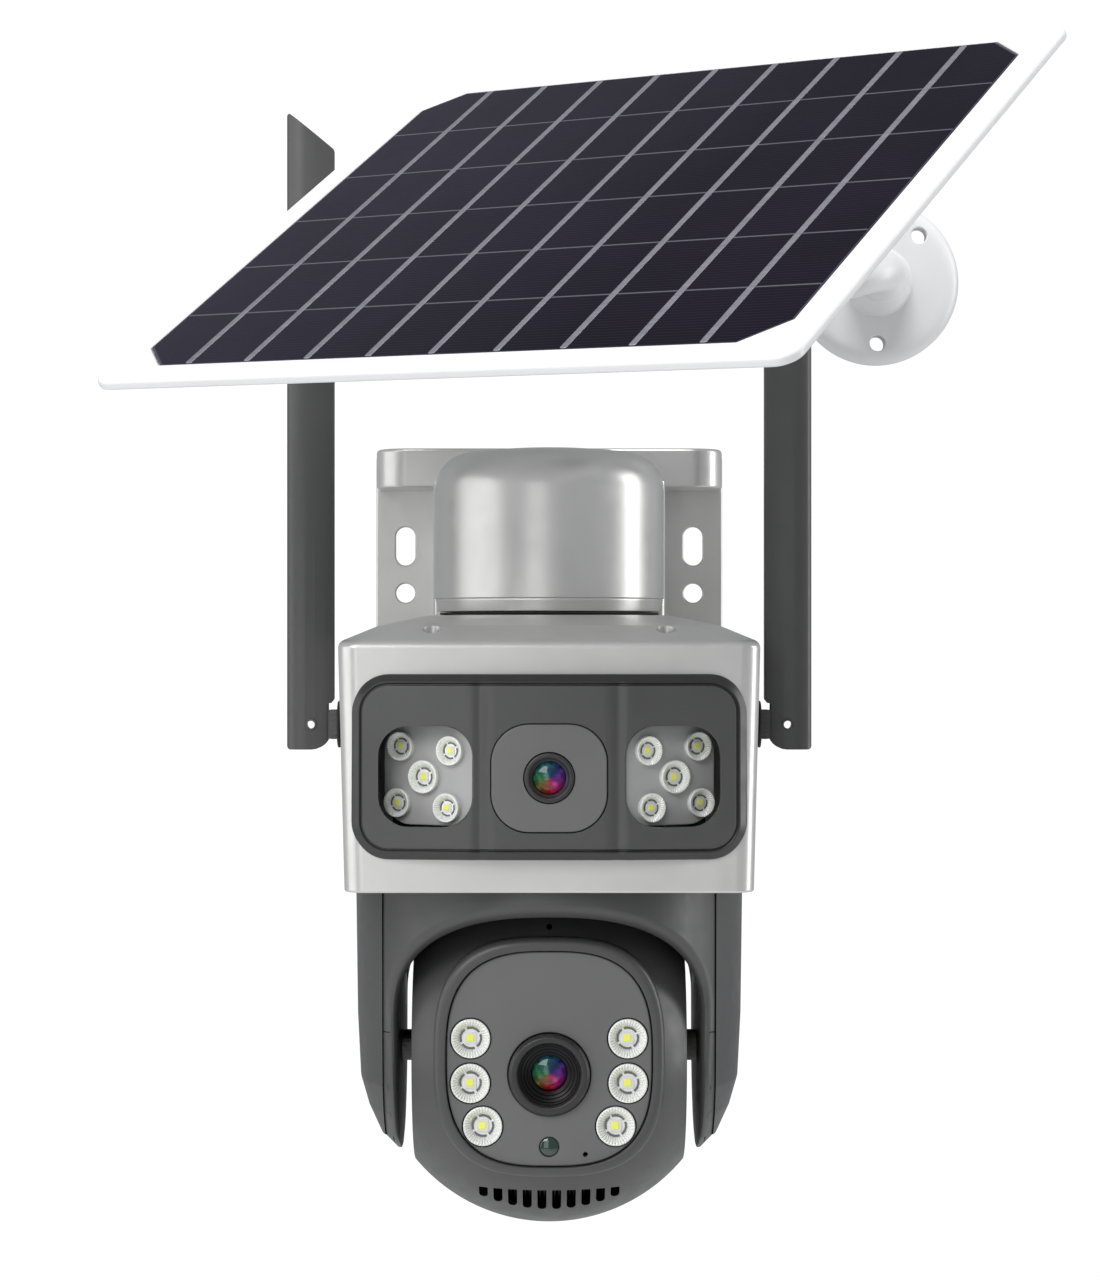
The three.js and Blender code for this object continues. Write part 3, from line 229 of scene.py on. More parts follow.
def rounded(corners, closed=True, steps=8):
    """Outline through corners (..., radius), each rounded by an arc of its own radius."""
    points = []
    count = len(corners)
    for i, corner in enumerate(corners):
        here = Vector(corner[:-1])
        radius = corner[-1]
        if radius == 0 or (not closed and i in (0, count - 1)):
            points.append(here)
            continue
        before = (Vector(corners[i - 1][:-1]) - here).normalized()
        after = (Vector(corners[(i + 1) % count][:-1]) - here).normalized()
        half = before.angle(after) / 2
        centre = here + (before + after).normalized() * (radius / math.sin(half))
        reach = radius / math.tan(half)
        start = here + before * reach - centre
        end = here + after * reach - centre
        points += [centre + arc_step(start, end, s / steps) for s in range(steps + 1)]
    return points


def rectangle(half_x, half_y, radius, centre=(0, 0), steps=10):
    """Rounded rectangle as a function of its inset."""

    def at(inset):
        corner = max(radius - inset, 0.02)
        reach_x = half_x - inset - corner
        reach_y = half_y - inset - corner
        points = []
        for quarter, (sx, sy) in enumerate(((1, 1), (-1, 1), (-1, -1), (1, -1))):
            for s in range(steps + 1):
                angle = math.pi / 2 * (quarter + s / steps)
                x = centre[0] + sx * reach_x + corner * math.cos(angle)
                y = centre[1] + sy * reach_y + corner * math.sin(angle)
                points.append((x, y))
        return points

    return at


def oval(half_x, half_y, power=2.0, centre=(0, 0), count=128):
    """Superellipse as a function of its inset."""

    def at(inset):
        points = []
        for c, s in circle(count):
            x = (half_x - inset) * math.copysign(abs(c) ** (2 / power), c)
            y = (half_y - inset) * math.copysign(abs(s) ** (2 / power), s)
            points.append((centre[0] + x, centre[1] + y))
        return points

    return at


def chamfered(half_x, half_y, corner):
    """Rectangle with cut corners as a function of its inset."""

    def at(inset):
        a, b = half_x - inset, half_y - inset
        c = corner - inset * (2 - math.sqrt(2))
        quarter = [(a, b - c), (a - c, b)]
        points = []
        for sx, sy in ((1, 1), (-1, 1), (-1, -1), (1, -1)):
            side = [(sx * x, sy * y) for x, y in quarter]
            points += side if sx * sy > 0 else side[::-1]
        return points

    return at


def skin(rings, loop=False, ends=True):
    """Surface through rings of equal point counts, either closed on itself or with flat ends."""
    count = len(rings[0])
    points = [Vector(p) for ring in rings for p in ring]
    faces = []
    for i in range(len(rings) if loop else len(rings) - 1):
        a = i * count
        b = (i + 1) % len(rings) * count
        for j in range(count):
            k = (j + 1) % count
            faces.append((a + j, a + k, b + k, b + j))
    if ends and not loop:
        last = (len(rings) - 1) * count
        faces.append(tuple(range(count)))
        faces.append(tuple(range(last, last + count)))
    return points, faces


def stepped(outline, levels, to_world=on_front):
    """Closed surface through an outline at (inset, depth) levels."""
    return skin([[to_world(u, v, depth) for u, v in outline(inset)] for inset, depth in levels])


def prism(outline, depths, to_world=on_front):
    """Plain outline carried through the given depths."""
    return skin([[to_world(u, v, depth) for u, v in outline] for depth in depths])


def turned(profile, centre=(0, 0, 0), axis="z", sides=96):
    """Profile of (radius, distance along) turned round an axis through centre; 'front' runs along -Y."""
    rings = []
    for radius, along in profile:
        ring = []
        for cosine, sine in circle(sides):
            c, s = radius * cosine, radius * sine
            spot = {"z": (c, s, along), "front": (c, -along, s), "x": (along, c, s)}[axis]
            ring.append(Vector(centre) + Vector(spot))
        rings.append(ring)
    return skin(rings, ends=False)


def rod(radius, start, end, centre=(0, 0, 0), axis="z", edge=0.0, sides=48):
    edge_points = rounded([(0, start, 0), (radius, start, edge), (radius, end, edge), (0, end, 0)], False, 4)
    return turned(edge_points, centre, axis, sides)


def pipe(radius, bore, start, end, centre=(0, 0, 0), axis="z", edge=0.2, sides=48):
    section = [(bore, start, edge), (radius, start, edge), (radius, end, edge), (bore, end, edge)]
    profile = rounded(section, True, 3)
    return turned([*profile, profile[0]], centre, axis, sides)


def slab(outline, back, front, back_edge=0.0, front_edge=0.0, to_world=on_front, steps=5):
    """Plate from depth back to depth front with rounded edges; outline is a function of the inset."""
    way = 1 if front > back else -1
    levels = []
    for c, s in quarter(steps) if back_edge else ():
        levels.append((back_edge * (1 - s), back + way * back_edge * (1 - c)))
    if not back_edge:
        levels.append((0, back))
    for c, s in quarter(steps) if front_edge else ():
        levels.append((front_edge * (1 - c), front - way * front_edge * (1 - s)))
    if not front_edge:
        levels.append((0, front))
    return stepped(outline, levels, to_world)


def block(low, high):
    """Plain cutter between two corners."""
    (x0, y0, z0), (x1, y1, z1) = low, high
    return prism([(x0, y0), (x1, y0), (x1, y1), (x0, y1)], (z0, z1), on_flat)


def moved(shape, matrix):
    points, faces = shape
    return [matrix @ p for p in points], faces


def make(name, *shapes):
    """One object from one or more shapes."""
    points, faces = [], []
    for more_points, more_faces in shapes:
        start = len(points)
        points += more_points
        faces += [tuple(start + i for i in face) for face in more_faces]
    mesh = bpy.data.meshes.new(name)
    mesh.from_pydata([MM * Vector(p) for p in points], [], faces)
    draft = bmesh.new()
    draft.from_mesh(mesh)
    bmesh.ops.remove_doubles(draft, verts=draft.verts, dist=1e-6)
    bmesh.ops.dissolve_degenerate(draft, edges=draft.edges, dist=1e-7)
    bmesh.ops.recalc_face_normals(draft, faces=draft.faces)
    draft.to_mesh(mesh)
    draft.free()
    made = bpy.data.objects.new(name, mesh)
    bpy.context.scene.collection.objects.link(made)
    return made


def bake(made):
    """Applies an object's modifiers to its mesh."""
    bpy.context.view_layer.update()
    graph = bpy.context.evaluated_depsgraph_get()
    mesh = bpy.data.meshes.new_from_object(made.evaluated_get(graph))
    made.modifiers.clear()
    made.data = mesh
    return made


def cut(made, tools, operation):
    """Boolean of an object with tool objects, which are used up."""
    for tool in tools:
        step = made.modifiers.new("combine", "BOOLEAN")
        step.solver = "EXACT"
        step.operation = operation
        step.object = tool
    bake(made)
    for tool in tools:
        bpy.data.objects.remove(tool)
    return made


def combine(made, *shapes, operation="DIFFERENCE"):
    """Boolean of an object with shapes, applied at once."""
    return cut(made, [make("tool", shape) for shape in shapes], operation)


def unite(made, *shapes):
    return combine(made, *shapes, operation="UNION")


def soften(made, width, angle=40, segments=2):
    """Bevels an object's sharp edges."""
    step = made.modifiers.new("edges", "BEVEL")
    step.width = width * MM
    step.segments = segments
    step.limit_method = "ANGLE"
    step.angle_limit = math.radians(angle)
    step.harden_normals = False
    return made


def even_normals(made):
    step = made.modifiers.new("normals", "WEIGHTED_NORMAL")
    step.keep_sharp = True
    return made


def shade(made, angle=38):
    """Smooth shading with crisp edges."""
    mesh = made.data
    mesh.polygons.foreach_set("use_smooth", [True] * len(mesh.polygons))
    mesh.set_sharp_from_angle(angle=math.radians(angle))
    return even_normals(made)


# ---------------------------------------------------------------- materials


class Nodes:
    """A material's node tree with its Principled shader at hand."""

    def __init__(self, name):
        self.material = bpy.data.materials.new(name)
        self.material.use_nodes = True
        self.tree = self.material.node_tree
        self.shader = self.tree.nodes["Principled BSDF"]
        self.spots = self.add("ShaderNodeTexCoord").outputs["Object"]

    def add(self, kind, values=None, **settings):
        """New node with its settings and the values of its inputs."""
        node = self.tree.nodes.new(kind)
        for key, value in settings.items():
            setattr(node, key, value)
        for key, value in (values or {}).items():
            node.inputs[key].default_value = value
        return node

    def link(self, source, target):
        self.tree.links.new(source, target)

    def noise(self, scale, detail=3.0, spots=None):
        """Noise with the given number of features per metre."""
        node = self.add("ShaderNodeTexNoise", {"Scale": scale, "Detail": detail})
        self.link(spots or self.spots, node.inputs["Vector"])
        return node.outputs["Fac"]

    def ramp(self, factor, stops):
        """Colour ramp through (position, colour) stops."""
        node = self.add("ShaderNodeValToRGB")
        marks = node.color_ramp.elements
        while len(marks) < len(stops):
            marks.new(0.5)
        for mark, (position, colour) in zip(marks, stops):
            mark.position = position
            mark.color = (*colour, 1)
        self.link(factor, node.inputs["Fac"])
        return node.outputs["Color"]

    def spread(self, factor, low, high):
        """Maps noise to a range of numbers."""
        span = {"From Min": 0.3, "From Max": 0.7, "To Min": low, "To Max": high}
        node = self.add("ShaderNodeMapRange", span)
        self.link(factor, node.inputs["Value"])
        return node.outputs["Result"]

    def bump(self, height, distance, strength=1.0):
        """Surface relief of the given depth in millimetres."""
        node = self.add("ShaderNodeBump", {"Strength": strength, "Distance": distance * MM})
        self.link(height, node.inputs["Height"])
        if self.shader.inputs["Normal"].links:
            self.link(self.shader.inputs["Normal"].links[0].from_socket, node.inputs["Normal"])
        self.link(node.outputs["Normal"], self.shader.inputs["Normal"])

    def colour(self, source):
        self.link(source, self.shader.inputs["Base Color"])

    def gloss(self, factor, low, high):
        """Roughness that wanders between two values."""
        self.link(self.spread(factor, low, high), self.shader.inputs["Roughness"])

    def set(self, **values):
        for key, value in values.items():
            self.shader.inputs[key.replace("_", " ")].default_value = value


def shades(colour, spread):
    """Two near shades of a colour, for slow variation over a surface."""
    darker = tuple(c * (1 - spread) for c in colour)
    lighter = tuple(min(c * (1 + spread), 1) for c in colour)
    return [(0.35, darker), (0.65, lighter)]


def moulded(name, colour, roughness, grain=0.012, grain_scale=2600, spread=0.05, **settings):
    """Injection moulding: slow colour drift, uneven gloss, fine spark-eroded grain."""
    nodes = Nodes(name)
    nodes.colour(nodes.ramp(nodes.noise(28), shades(colour, spread)))
    nodes.gloss(nodes.noise(160, 4), roughness - 0.05, roughness + 0.05)
    nodes.bump(nodes.noise(grain_scale, 2), grain)
    nodes.set(**settings)
    return nodes.material


def silver_paint():
    """Aluminium-flake paint under a thin satin clear coat."""
    nodes = Nodes("silver_paint")
    flake = nodes.add("ShaderNodeTexVoronoi", {"Scale": 5200})
    nodes.link(nodes.spots, flake.inputs["Vector"])
    nodes.colour(nodes.ramp(nodes.noise(35), shades((0.6, 0.6, 0.585), 0.03)))
    nodes.gloss(nodes.noise(220, 4), 0.3, 0.38)
    nodes.bump(flake.outputs["Distance"], 0.006, 0.6)
    nodes.bump(nodes.noise(420, 2), 0.01, 0.5)
    nodes.set(Metallic=0.55, Coat_Weight=0.3, Coat_Roughness=0.14)
    return nodes.material


def solar_cell(name, colour, fingers):
    """Silicon under a polished sheet, with fine printed fingers where the cell has them, and a painted reflection
    that lightens it towards the panel's left.
    """
    nodes = Nodes(name)
    tone = nodes.ramp(nodes.noise(18, 2), shades(colour, 0.18))
    # painted reflection: a faint lighter tone is added towards the panel's left (-X) side
    across = nodes.add("ShaderNodeSeparateXYZ")
    nodes.link(nodes.spots, across.inputs["Vector"])
    fade = nodes.add("ShaderNodeMapRange", {"From Min": 0.04, "From Max": -0.11})
    nodes.link(across.outputs["X"], fade.inputs["Value"])
    painted_reflection = nodes.add("ShaderNodeMix", data_type="RGBA", blend_type="ADD")
    painted_reflection.inputs["B"].default_value = (0.012, 0.012, 0.016, 1)
    nodes.link(fade.outputs["Result"], painted_reflection.inputs["Factor"])
    nodes.link(tone, painted_reflection.inputs["A"])
    tone = painted_reflection.outputs["Result"]
    if fingers:
        lines = nodes.add("ShaderNodeTexWave", {"Scale": 210}, wave_type="BANDS", bands_direction="Y")
        nodes.link(nodes.spots, lines.inputs["Vector"])
        blend = nodes.add("ShaderNodeMix", data_type="RGBA")
        thin = nodes.ramp(lines.outputs["Fac"], [(0.93, (0, 0, 0)), (0.99, (0.12, 0.12, 0.12))])
        nodes.link(thin, blend.inputs["Factor"])
        nodes.link(tone, blend.inputs["A"])
        blend.inputs["B"].default_value = (0.09, 0.09, 0.12, 1)
        tone = blend.outputs["Result"]
    nodes.colour(tone)
    nodes.gloss(nodes.noise(90), 0.2, 0.3)
    nodes.bump(nodes.noise(1800, 2), 0.006, 0.4)
    nodes.set(Coat_Weight=0.0, Specular_IOR_Level=0.3, IOR=1.14)
    return nodes.material


def brushed(name, colour, roughness, stretch=(40, 2200, 2200)):
    """Turned or drawn metal with fine lines across one axis."""
    nodes = Nodes(name)
    mapping = nodes.add("ShaderNodeMapping", {"Scale": stretch})
    nodes.link(nodes.spots, mapping.inputs["Vector"])
    lines = nodes.noise(1.0, 4, mapping.outputs["Vector"])
    nodes.colour(nodes.ramp(lines, shades(colour, 0.08)))
    nodes.gloss(lines, roughness - 0.06, roughness + 0.06)
    nodes.bump(lines, 0.01)
    nodes.set(Metallic=0.95)
    return nodes.material


def reflector_white():
    """White metallised bowl, with a painted yellow-green reflection where its surface faces right and down."""
    nodes = Nodes("reflector_white")
    normal = nodes.add("ShaderNodeTexCoord").outputs["Normal"]
    # painted reflection: yellow-green is painted on the faces turned right and down
    side = nodes.add("ShaderNodeVectorMath", operation="DOT_PRODUCT")
    side.inputs[1].default_value = (0.66, 0, -0.75)
    nodes.link(normal, side.inputs[0])
    painted_reflection_tint = nodes.ramp(side.outputs["Value"], [(0.0, (0.86, 0.87, 0.86)), (0.45, (0.82, 0.86, 0.73))])
    nodes.colour(painted_reflection_tint)
    nodes.gloss(nodes.noise(500), 0.18, 0.3)
    nodes.bump(nodes.noise(2400, 2), 0.004)
    nodes.set(Metallic=0.12)
    return nodes.material


def coated_glass(name, centre, radius):
    """Lens element with painted reflection: the coloured reflections of its coatings shift from green through blue
    and purple to red round its face, in brighter and darker patches.
    """
    nodes = Nodes(name)
    local = nodes.add("ShaderNodeMapping", vector_type="TEXTURE")
    local.inputs["Location"].default_value = centre * MM
    local.inputs["Rotation"].default_value = (math.pi / 2, 0, 0)
    local.inputs["Scale"].default_value = (radius * MM,) * 3
    nodes.link(nodes.spots, local.inputs["Vector"])
    around = nodes.add("ShaderNodeTexGradient", gradient_type="RADIAL")
    nodes.link(local.outputs["Vector"], around.inputs["Vector"])
    reflection_hues = nodes.ramp(around.outputs["Fac"], COATING_REFLECTION_HUES)
    # painted reflection: brighter and darker patches over the coating colours
    reflection_patches = nodes.add("ShaderNodeTexVoronoi", {"Scale": 2.6}, distance="CHEBYCHEV")
    nodes.link(local.outputs["Vector"], reflection_patches.inputs["Vector"])
    blend = nodes.add("ShaderNodeMix", data_type="RGBA", blend_type="MULTIPLY")
    blend.inputs["Factor"].default_value = 0.85
    nodes.link(reflection_hues, blend.inputs["A"])
    reflection_patch_tones = [(0.1, (1.6, 1.6, 1.6)), (0.5, (0.45, 0.45, 0.45))]
    nodes.link(nodes.ramp(reflection_patches.outputs["Distance"], reflection_patch_tones), blend.inputs["B"])
    nodes.colour(blend.outputs["Result"])
    nodes.gloss(nodes.noise(600), 0.03, 0.07)
    nodes.set(Coat_Weight=0.35, Coat_Roughness=0.02, Specular_IOR_Level=0.3)
    return nodes.material


FINISH = {
    "silver_paint": silver_paint(),
    "charcoal_plastic": moulded("charcoal_plastic", (0.062, 0.062, 0.062), 0.4),
    "charcoal_dark": moulded("charcoal_dark", (0.024, 0.024, 0.024), 0.35),
    "grey_plastic": moulded("grey_plastic", (0.13, 0.13, 0.13), 0.42),
    "white_plastic": moulded("white_plastic", (0.7, 0.7, 0.71), 0.36, grain=0.003, spread=0.012),
    "seal_rubber": moulded("seal_rubber", (0.012, 0.012, 0.012), 0.72, grain=0.03),
    "dark_ring": moulded("dark_ring", (0.003, 0.003, 0.0035), 0.38, 0.004, Specular_IOR_Level=0.25),
    "board_grey": moulded("board_grey", (0.38, 0.38, 0.38), 0.45, grain=0.008),
    "solar_cells": solar_cell("solar_cells", (0.005, 0.0035, 0.009), True),
    "cell_backing": solar_cell("cell_backing", (0.045, 0.045, 0.06), False),
    "busbar": brushed("busbar", (0.42, 0.41, 0.46), 0.4),
    "row_line": moulded("row_line", (0.075, 0.075, 0.09), 0.4),
    "reflector_white": reflector_white(),
    "steel": brushed("steel", (0.16, 0.16, 0.165), 0.42),
    "circuit_board": moulded("circuit_board", (0.012, 0.07, 0.035), 0.4, spread=0.2),
    "battery_wrap": moulded("battery_wrap", (0.025, 0.11, 0.28), 0.25, grain=0.02, grain_scale=500),
    "gear_nylon": moulded("gear_nylon", (0.2, 0.195, 0.18), 0.45),
    "phosphor": moulded("phosphor", (0.85, 0.88, 0.12), 0.5, grain=0.01),
    "sensor_glass": moulded("sensor_glass", (0.008, 0.03, 0.02), 0.1, grain=0.001, Coat_Weight=1.0),
}


def piece(made, body, finish, *nodes, slot=None):
    """Gives a new object its material and body, and hides the CAD nodes it stands for; its slot argument is not
    used.
    """
    material = FINISH[finish] if isinstance(finish, str) else finish
    made.data.materials.clear()
    made.data.materials.append(material)
    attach(made, body)
    if nodes:
        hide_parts(*nodes)
    return made


# ---------------------------------------------------------------- bracket, dome and housing


def band_outline(inset):
    """Top band seen from above: straight at the wall, with rounded ends that curve back to it."""
    half = BAND["half"] - inset
    depth = BAND["depth"] - inset
    corner = BAND["corner"] - inset
    return rounded([(half, -1, 0), (half, -depth, corner), (-half, -depth, corner), (-half, -1, 0)], True, 10)


def build_bracket():
    place = Place("wall_bracket")
    plate = rectangle(place.size.x / 2, place.size.z / 2, PLATE_CORNER, (0, place.mid.z))
    bracket = make("bracket", slab(plate, 0, -PLATE_THICK, 0.3, 0.8))
    band = slab(band_outline, BAND["top"] - BAND["height"], BAND["top"], 0.7, 1.3, on_flat)
    depth = -place.low.y
    seat = rectangle(SADDLE["half"], (depth + 10) / 2, 2.2, (0, 5 - depth / 2))
    unite(bracket, band, slab(seat, SADDLE["bottom"], BAND["top"] - BAND["height"] + 1, 0.6, 0, on_flat))
    inner = SADDLE["half"] - SADDLE["wall"]
    room = block((-inner, -42, -60), (inner, -PLATE_THICK, BAND["top"] - SADDLE["wall"] - 3))
    dome_room = turned([(0, -60), (DOME_RADIUS + GAP, -60), *dome_crown(GAP)], (0, PAN_Y, 0), sides=128)
    behind = block((-FAR, 0, -FAR), (FAR, 40, FAR))
    tools = [room, dome_room, behind, housing_block(GAP)]
    for side in (-1, 1):
        spot = (side * SCREW_HOLE["x"], 0, SCREW_HOLE["z"])
        radius = SCREW_HOLE["radius"]
        funnel = [(0, -5), (radius, -5), (radius, 2.6), (radius + 0.9, 3.5), (radius + 0.9, 9), (0, 9)]
        tools.append(turned(funnel, spot, "front", 48))
        width = SCREW_SLOT["width"] / 2
        centre = (side * SCREW_SLOT["x"], SCREW_SLOT["z"])
        slot = rectangle(width, SCREW_SLOT["length"] / 2, width, centre)
        levels = [(0, 5), (0, -2.6), (-0.9, -3.5), (-0.9, -9)]
        tools.append(stepped(slot, levels))
    combine(bracket, *tools)
    piece(shade(bracket, 30), "body", "silver_paint", "wall_bracket")


def dome_crown(grow):
    """Profile of the dome's top from its side up to its middle."""
    flat, crown = DOME_RADIUS - DOME["corner"], DOME["crown"]
    top = Place("dome_cap").high.z + DOME["rise"]
    corner = DOME["corner"] + grow
    profile = []
    for i in range(17):
        angle = (math.pi / 2 - 2 * crown / flat) * i / 16
        profile.append((flat + corner * math.cos(angle), top - crown + grow - corner * (1 - math.sin(angle))))
    return profile + [(flat * i / 8, top + grow - crown * (i / 8) ** 2) for i in range(7, -1, -1)]


def build_dome():
    place = Place("dome_cap")
    radius, top, bottom = DOME_RADIUS, place.high.z, place.low.z
    corner, crown, wall = DOME["corner"], DOME["crown"], DOME["wall"]
    profile = dome_crown(0)[::-1]
    line = bottom + DOME["band"]
    profile += rounded([
        (radius, line + 3, 0),
        (radius, line, 0.25),
        (radius - 0.5, line - 0.35, 0.2),
        (radius - 0.4, line - 0.8, 0.2),
        (radius - 1.3, bottom, 0.4),
        (radius - wall, bottom, 0),
    ], False, 4)
    profile += [(radius - wall, top - corner), (radius - corner - 1, top - wall - crown), (0, top - wall)]
    dome = make("dome", turned(profile, (0, PAN_Y, 0), sides=160))
    piece(shade(dome), "body", "silver_paint", "dome_cap")
    # the seal's near-black rubber stands both for a real seal and for painted shade in the gap between dome and
    # roof
    seal = Place("dome_gasket")
    ring = pipe(seal.size.x / 2, 30, seal.low.z, seal.high.z, (0, PAN_Y, 0), edge=0.25, sides=128)
    piece(shade(make("dome_seal_and_gap_shade", ring)), "body", "seal_rubber", "dome_gasket")


def housing_levels(grow):
    """Half width, half depth, height and corner radius of the outer skin, from the skirt up."""
    low, high = Place("housing_shell").low.z, Place("housing_shell").high.z
    upper = Place("housing_shell").high.x

    def run(skirt, eaves, break_half):
        return rounded([
            (skirt - 3, low - grow, 0),
            (skirt + grow, low - grow, 0.8),
            (eaves + grow, EAVES_Z + 0.7 * grow, 2.6),
            (break_half + grow, ROOF_BREAK["z"] + grow, 4),
            (ROOF_FLAT + grow, high + grow, 3),
            (ROOF_HOLE, high + grow, 0),
        ], False, 6)

    across = run(SKIRT_HALF, upper, ROOF_BREAK["x"])
    deep = run(SKIRT_HALF, SKIRT_HALF, ROOF_BREAK["y"])
    levels = []
    for (half_x, z), (half_y, _same_z) in zip(across, deep):
        share = min(max((SKIRT_HALF - half_y) / (SKIRT_HALF - ROOF_FLAT), 0), 1)
        corner = HOUSING_CORNER + share * (ROOF_FLAT * 0.75 - HOUSING_CORNER)
        levels.append((half_x, half_y, z, min(corner, half_x)))
    return levels


def housing_ring(half_x, half_y, z, corner):
    """Plan outline whose sides lean in towards the front."""
    steps, parts = 8, 8
    outline = rectangle(half_x, half_y, corner, (0, PAN_Y), steps)(0)
    ring = []
    for i, (x, y) in enumerate(outline):
        ring.append((x, y))
        if i % (steps + 1) == steps:
            next_x, next_y = outline[(i + 1) % len(outline)]
            for s in range(1, parts):
                ring.append((x + (next_x - x) * s / parts, y + (next_y - y) * s / parts))
    leaning = []
    for x, y in ring:
        along = min(max((PAN_Y - y - TAPER["start"]) / TAPER["run"], 0), 1)
        leaning.append((x * (1 - TAPER["share"] * along), y, z))
    return leaning


def housing_block(grow):
    """Cutter with the housing's outer shape, grown by a gap."""
    return skin([housing_ring(*level) for level in housing_levels(grow)])


def build_housing():
    outer = housing_levels(0)
    wall = HOUSING_WALL
    high = Place("housing_shell").high.z
    inner = [
        (ROOF_HOLE, ROOF_HOLE, high - wall, ROOF_HOLE),
        (ROOF_FLAT - wall, ROOF_FLAT - wall, high - wall, ROOF_FLAT * 0.7),
        (ROOF_BREAK["x"] - wall, ROOF_BREAK["y"] - wall, ROOF_BREAK["z"] - 3, 12),
        (outer[12][0] - wall, SKIRT_HALF - wall, EAVES_Z - 2, HOUSING_CORNER - wall),
        (SKIRT_HALF - wall, SKIRT_HALF - wall, Place("housing_shell").low.z, HOUSING_CORNER - wall),
    ]
    hole_rim = (ROOF_HOLE, ROOF_HOLE, high, ROOF_HOLE)
    rings = [housing_ring(*level) for level in [*outer[1:-1], hole_rim, *inner]]
    housing = make("housing", skin(rings, loop=True))
    doorway = rectangle(BEZEL["half_x"] - 4, BEZEL["half_z"] - 4, 8, (0, Place("front_bezel").mid.z))
    inlet = Place("power_inlet").mid
    shaft_z = PIN["antenna_swivel_left"].z
    tools = [
        slab(doorway, -128, -160),
        rod(SHAFT_RADIUS + GAP, -80, 80, (0, PIN["antenna_swivel_left"].y, shaft_z), "x", sides=32),
        rod(INLET_HOLE, -20, 20, (inlet.x, 0, inlet.z), "front", sides=32),
    ]
    for side in (-1, 1):
        half, centre = ROOF_RECESS["half"], (side * ROOF_RECESS["x"], ROOF_RECESS["y"])
        floor = ROOF_RECESS["floor"]
        levels = [(0.2, floor - 0.4), (0, floor), (0, floor + 16)]
        tools.append(stepped(oval(half, half, 2, centre, 40), levels, on_flat))
    combine(housing, *tools)
    piece(shade(housing, 30), "body", "silver_paint", "housing_shell")


# ---------------------------------------------------------------- bezel and fixed camera


def sweep_back(made):
    """Folds the side facets back from the fold lines, with a small round at each fold."""
    draft = bmesh.new()
    draft.from_mesh(made.data)
    for side in (-1, 1):
        for offset in FOLD_CUTS:
            everything = [*draft.verts, *draft.edges, *draft.faces]
            spot = Vector((side * (FOLD_X + offset * FOLD_ROUND), 0, 0)) * MM
            bmesh.ops.bisect_plane(draft, geom=everything, plane_co=spot, plane_no=(1, 0, 0))
    for vert in draft.verts:
        beyond = abs(vert.co.x) / MM - FOLD_X
        if beyond > FOLD_ROUND:
            back = beyond
        else:
            back = max(beyond + FOLD_ROUND, 0) ** 2 / (4 * FOLD_ROUND)
        valley = FOLD_GROOVE * math.exp(-((beyond / FOLD_ROUND / 1.5) ** 2))
        vert.co.y += (back * SWEEP + valley) * MM
    draft.to_mesh(made.data)
    draft.free()
    return made


def bezel_rings(inset, front):
    """Outline rings from the back edge to the flat face, with the border's wide chamfer."""
    place = Place("front_bezel")
    half = (BEZEL["half_x"] - inset, BEZEL["half_z"] - inset)
    outline = rectangle(*half, BEZEL["corner"] - inset, (0, place.mid.z), 12)
    chamfer = BEZEL["chamfer"]
    slope = rounded([
        (0, front + 12, 0),
        (0, front + 2.4, 1.2),
        (chamfer - 0.3, front + 0.1, 0.5),
        (chamfer, front + 1.1, 0.15),
        (chamfer + 0.45, front + 1.1, 0.15),
        (chamfer + 0.6, front, 0.25),
        (chamfer + 2, front, 0),
    ], False, 4)
    return [[on_front(u, v, depth) for u, v in outline(step)] for step, depth in slope]


def bezel_inset(point):
    """Distance of a point inside the bezel's rounded outline."""
    middle, corner = Place("front_bezel").mid.z, BEZEL["corner"]
    across = abs(point.x) - BEZEL["half_x"] + corner
    up = abs(point.z - middle) - BEZEL["half_z"] + corner
    return corner - math.hypot(max(across, 0), max(up, 0)) - min(max(across, up), 0)


def build_bezel():
    front = Place("front_bezel").low.y
    bezel = sweep_back(make("bezel", skin(bezel_rings(0, front))))
    hollow = sweep_back(make("hollow", skin(bezel_rings(BEZEL["wall"], front + BEZEL["wall"]))))
    cut(bezel, [hollow], "DIFFERENCE")
    cover = Place("centre_cover")
    reach = (cover.size.x / 2 + GAP, cover.size.z / 2 + GAP)
    openings = [rectangle(*reach, COVER_CORNER + GAP, (0, cover.mid.z))]
    for side in (-1, 1):
        centre = (side * WINDOW["x"], WINDOW["z"])
        openings.append(rectangle(WINDOW["width"] / 2, WINDOW["height"] / 2, WINDOW["corner"], centre))
    tools = [slab(openings[0], front + 20, front - 5)]
    for opening in openings[1:]:
        levels = [(0, front + 20), (0, front + 2.2), (-0.5, front + 0.9), (-0.5, front - 5)]
        tools.append(stepped(opening, levels))
    tools.append(housing_block(GAP))
    combine(bezel, *tools)
    piece(shade(bezel, 25), "body", "charcoal_plastic", "front_bezel")
    bezel.data.materials.append(FINISH["charcoal_dark"])
    for face in bezel.data.polygons:
        if bezel_inset(face.center / MM) < BEZEL["chamfer"] + 0.5:
            face.material_index = 1


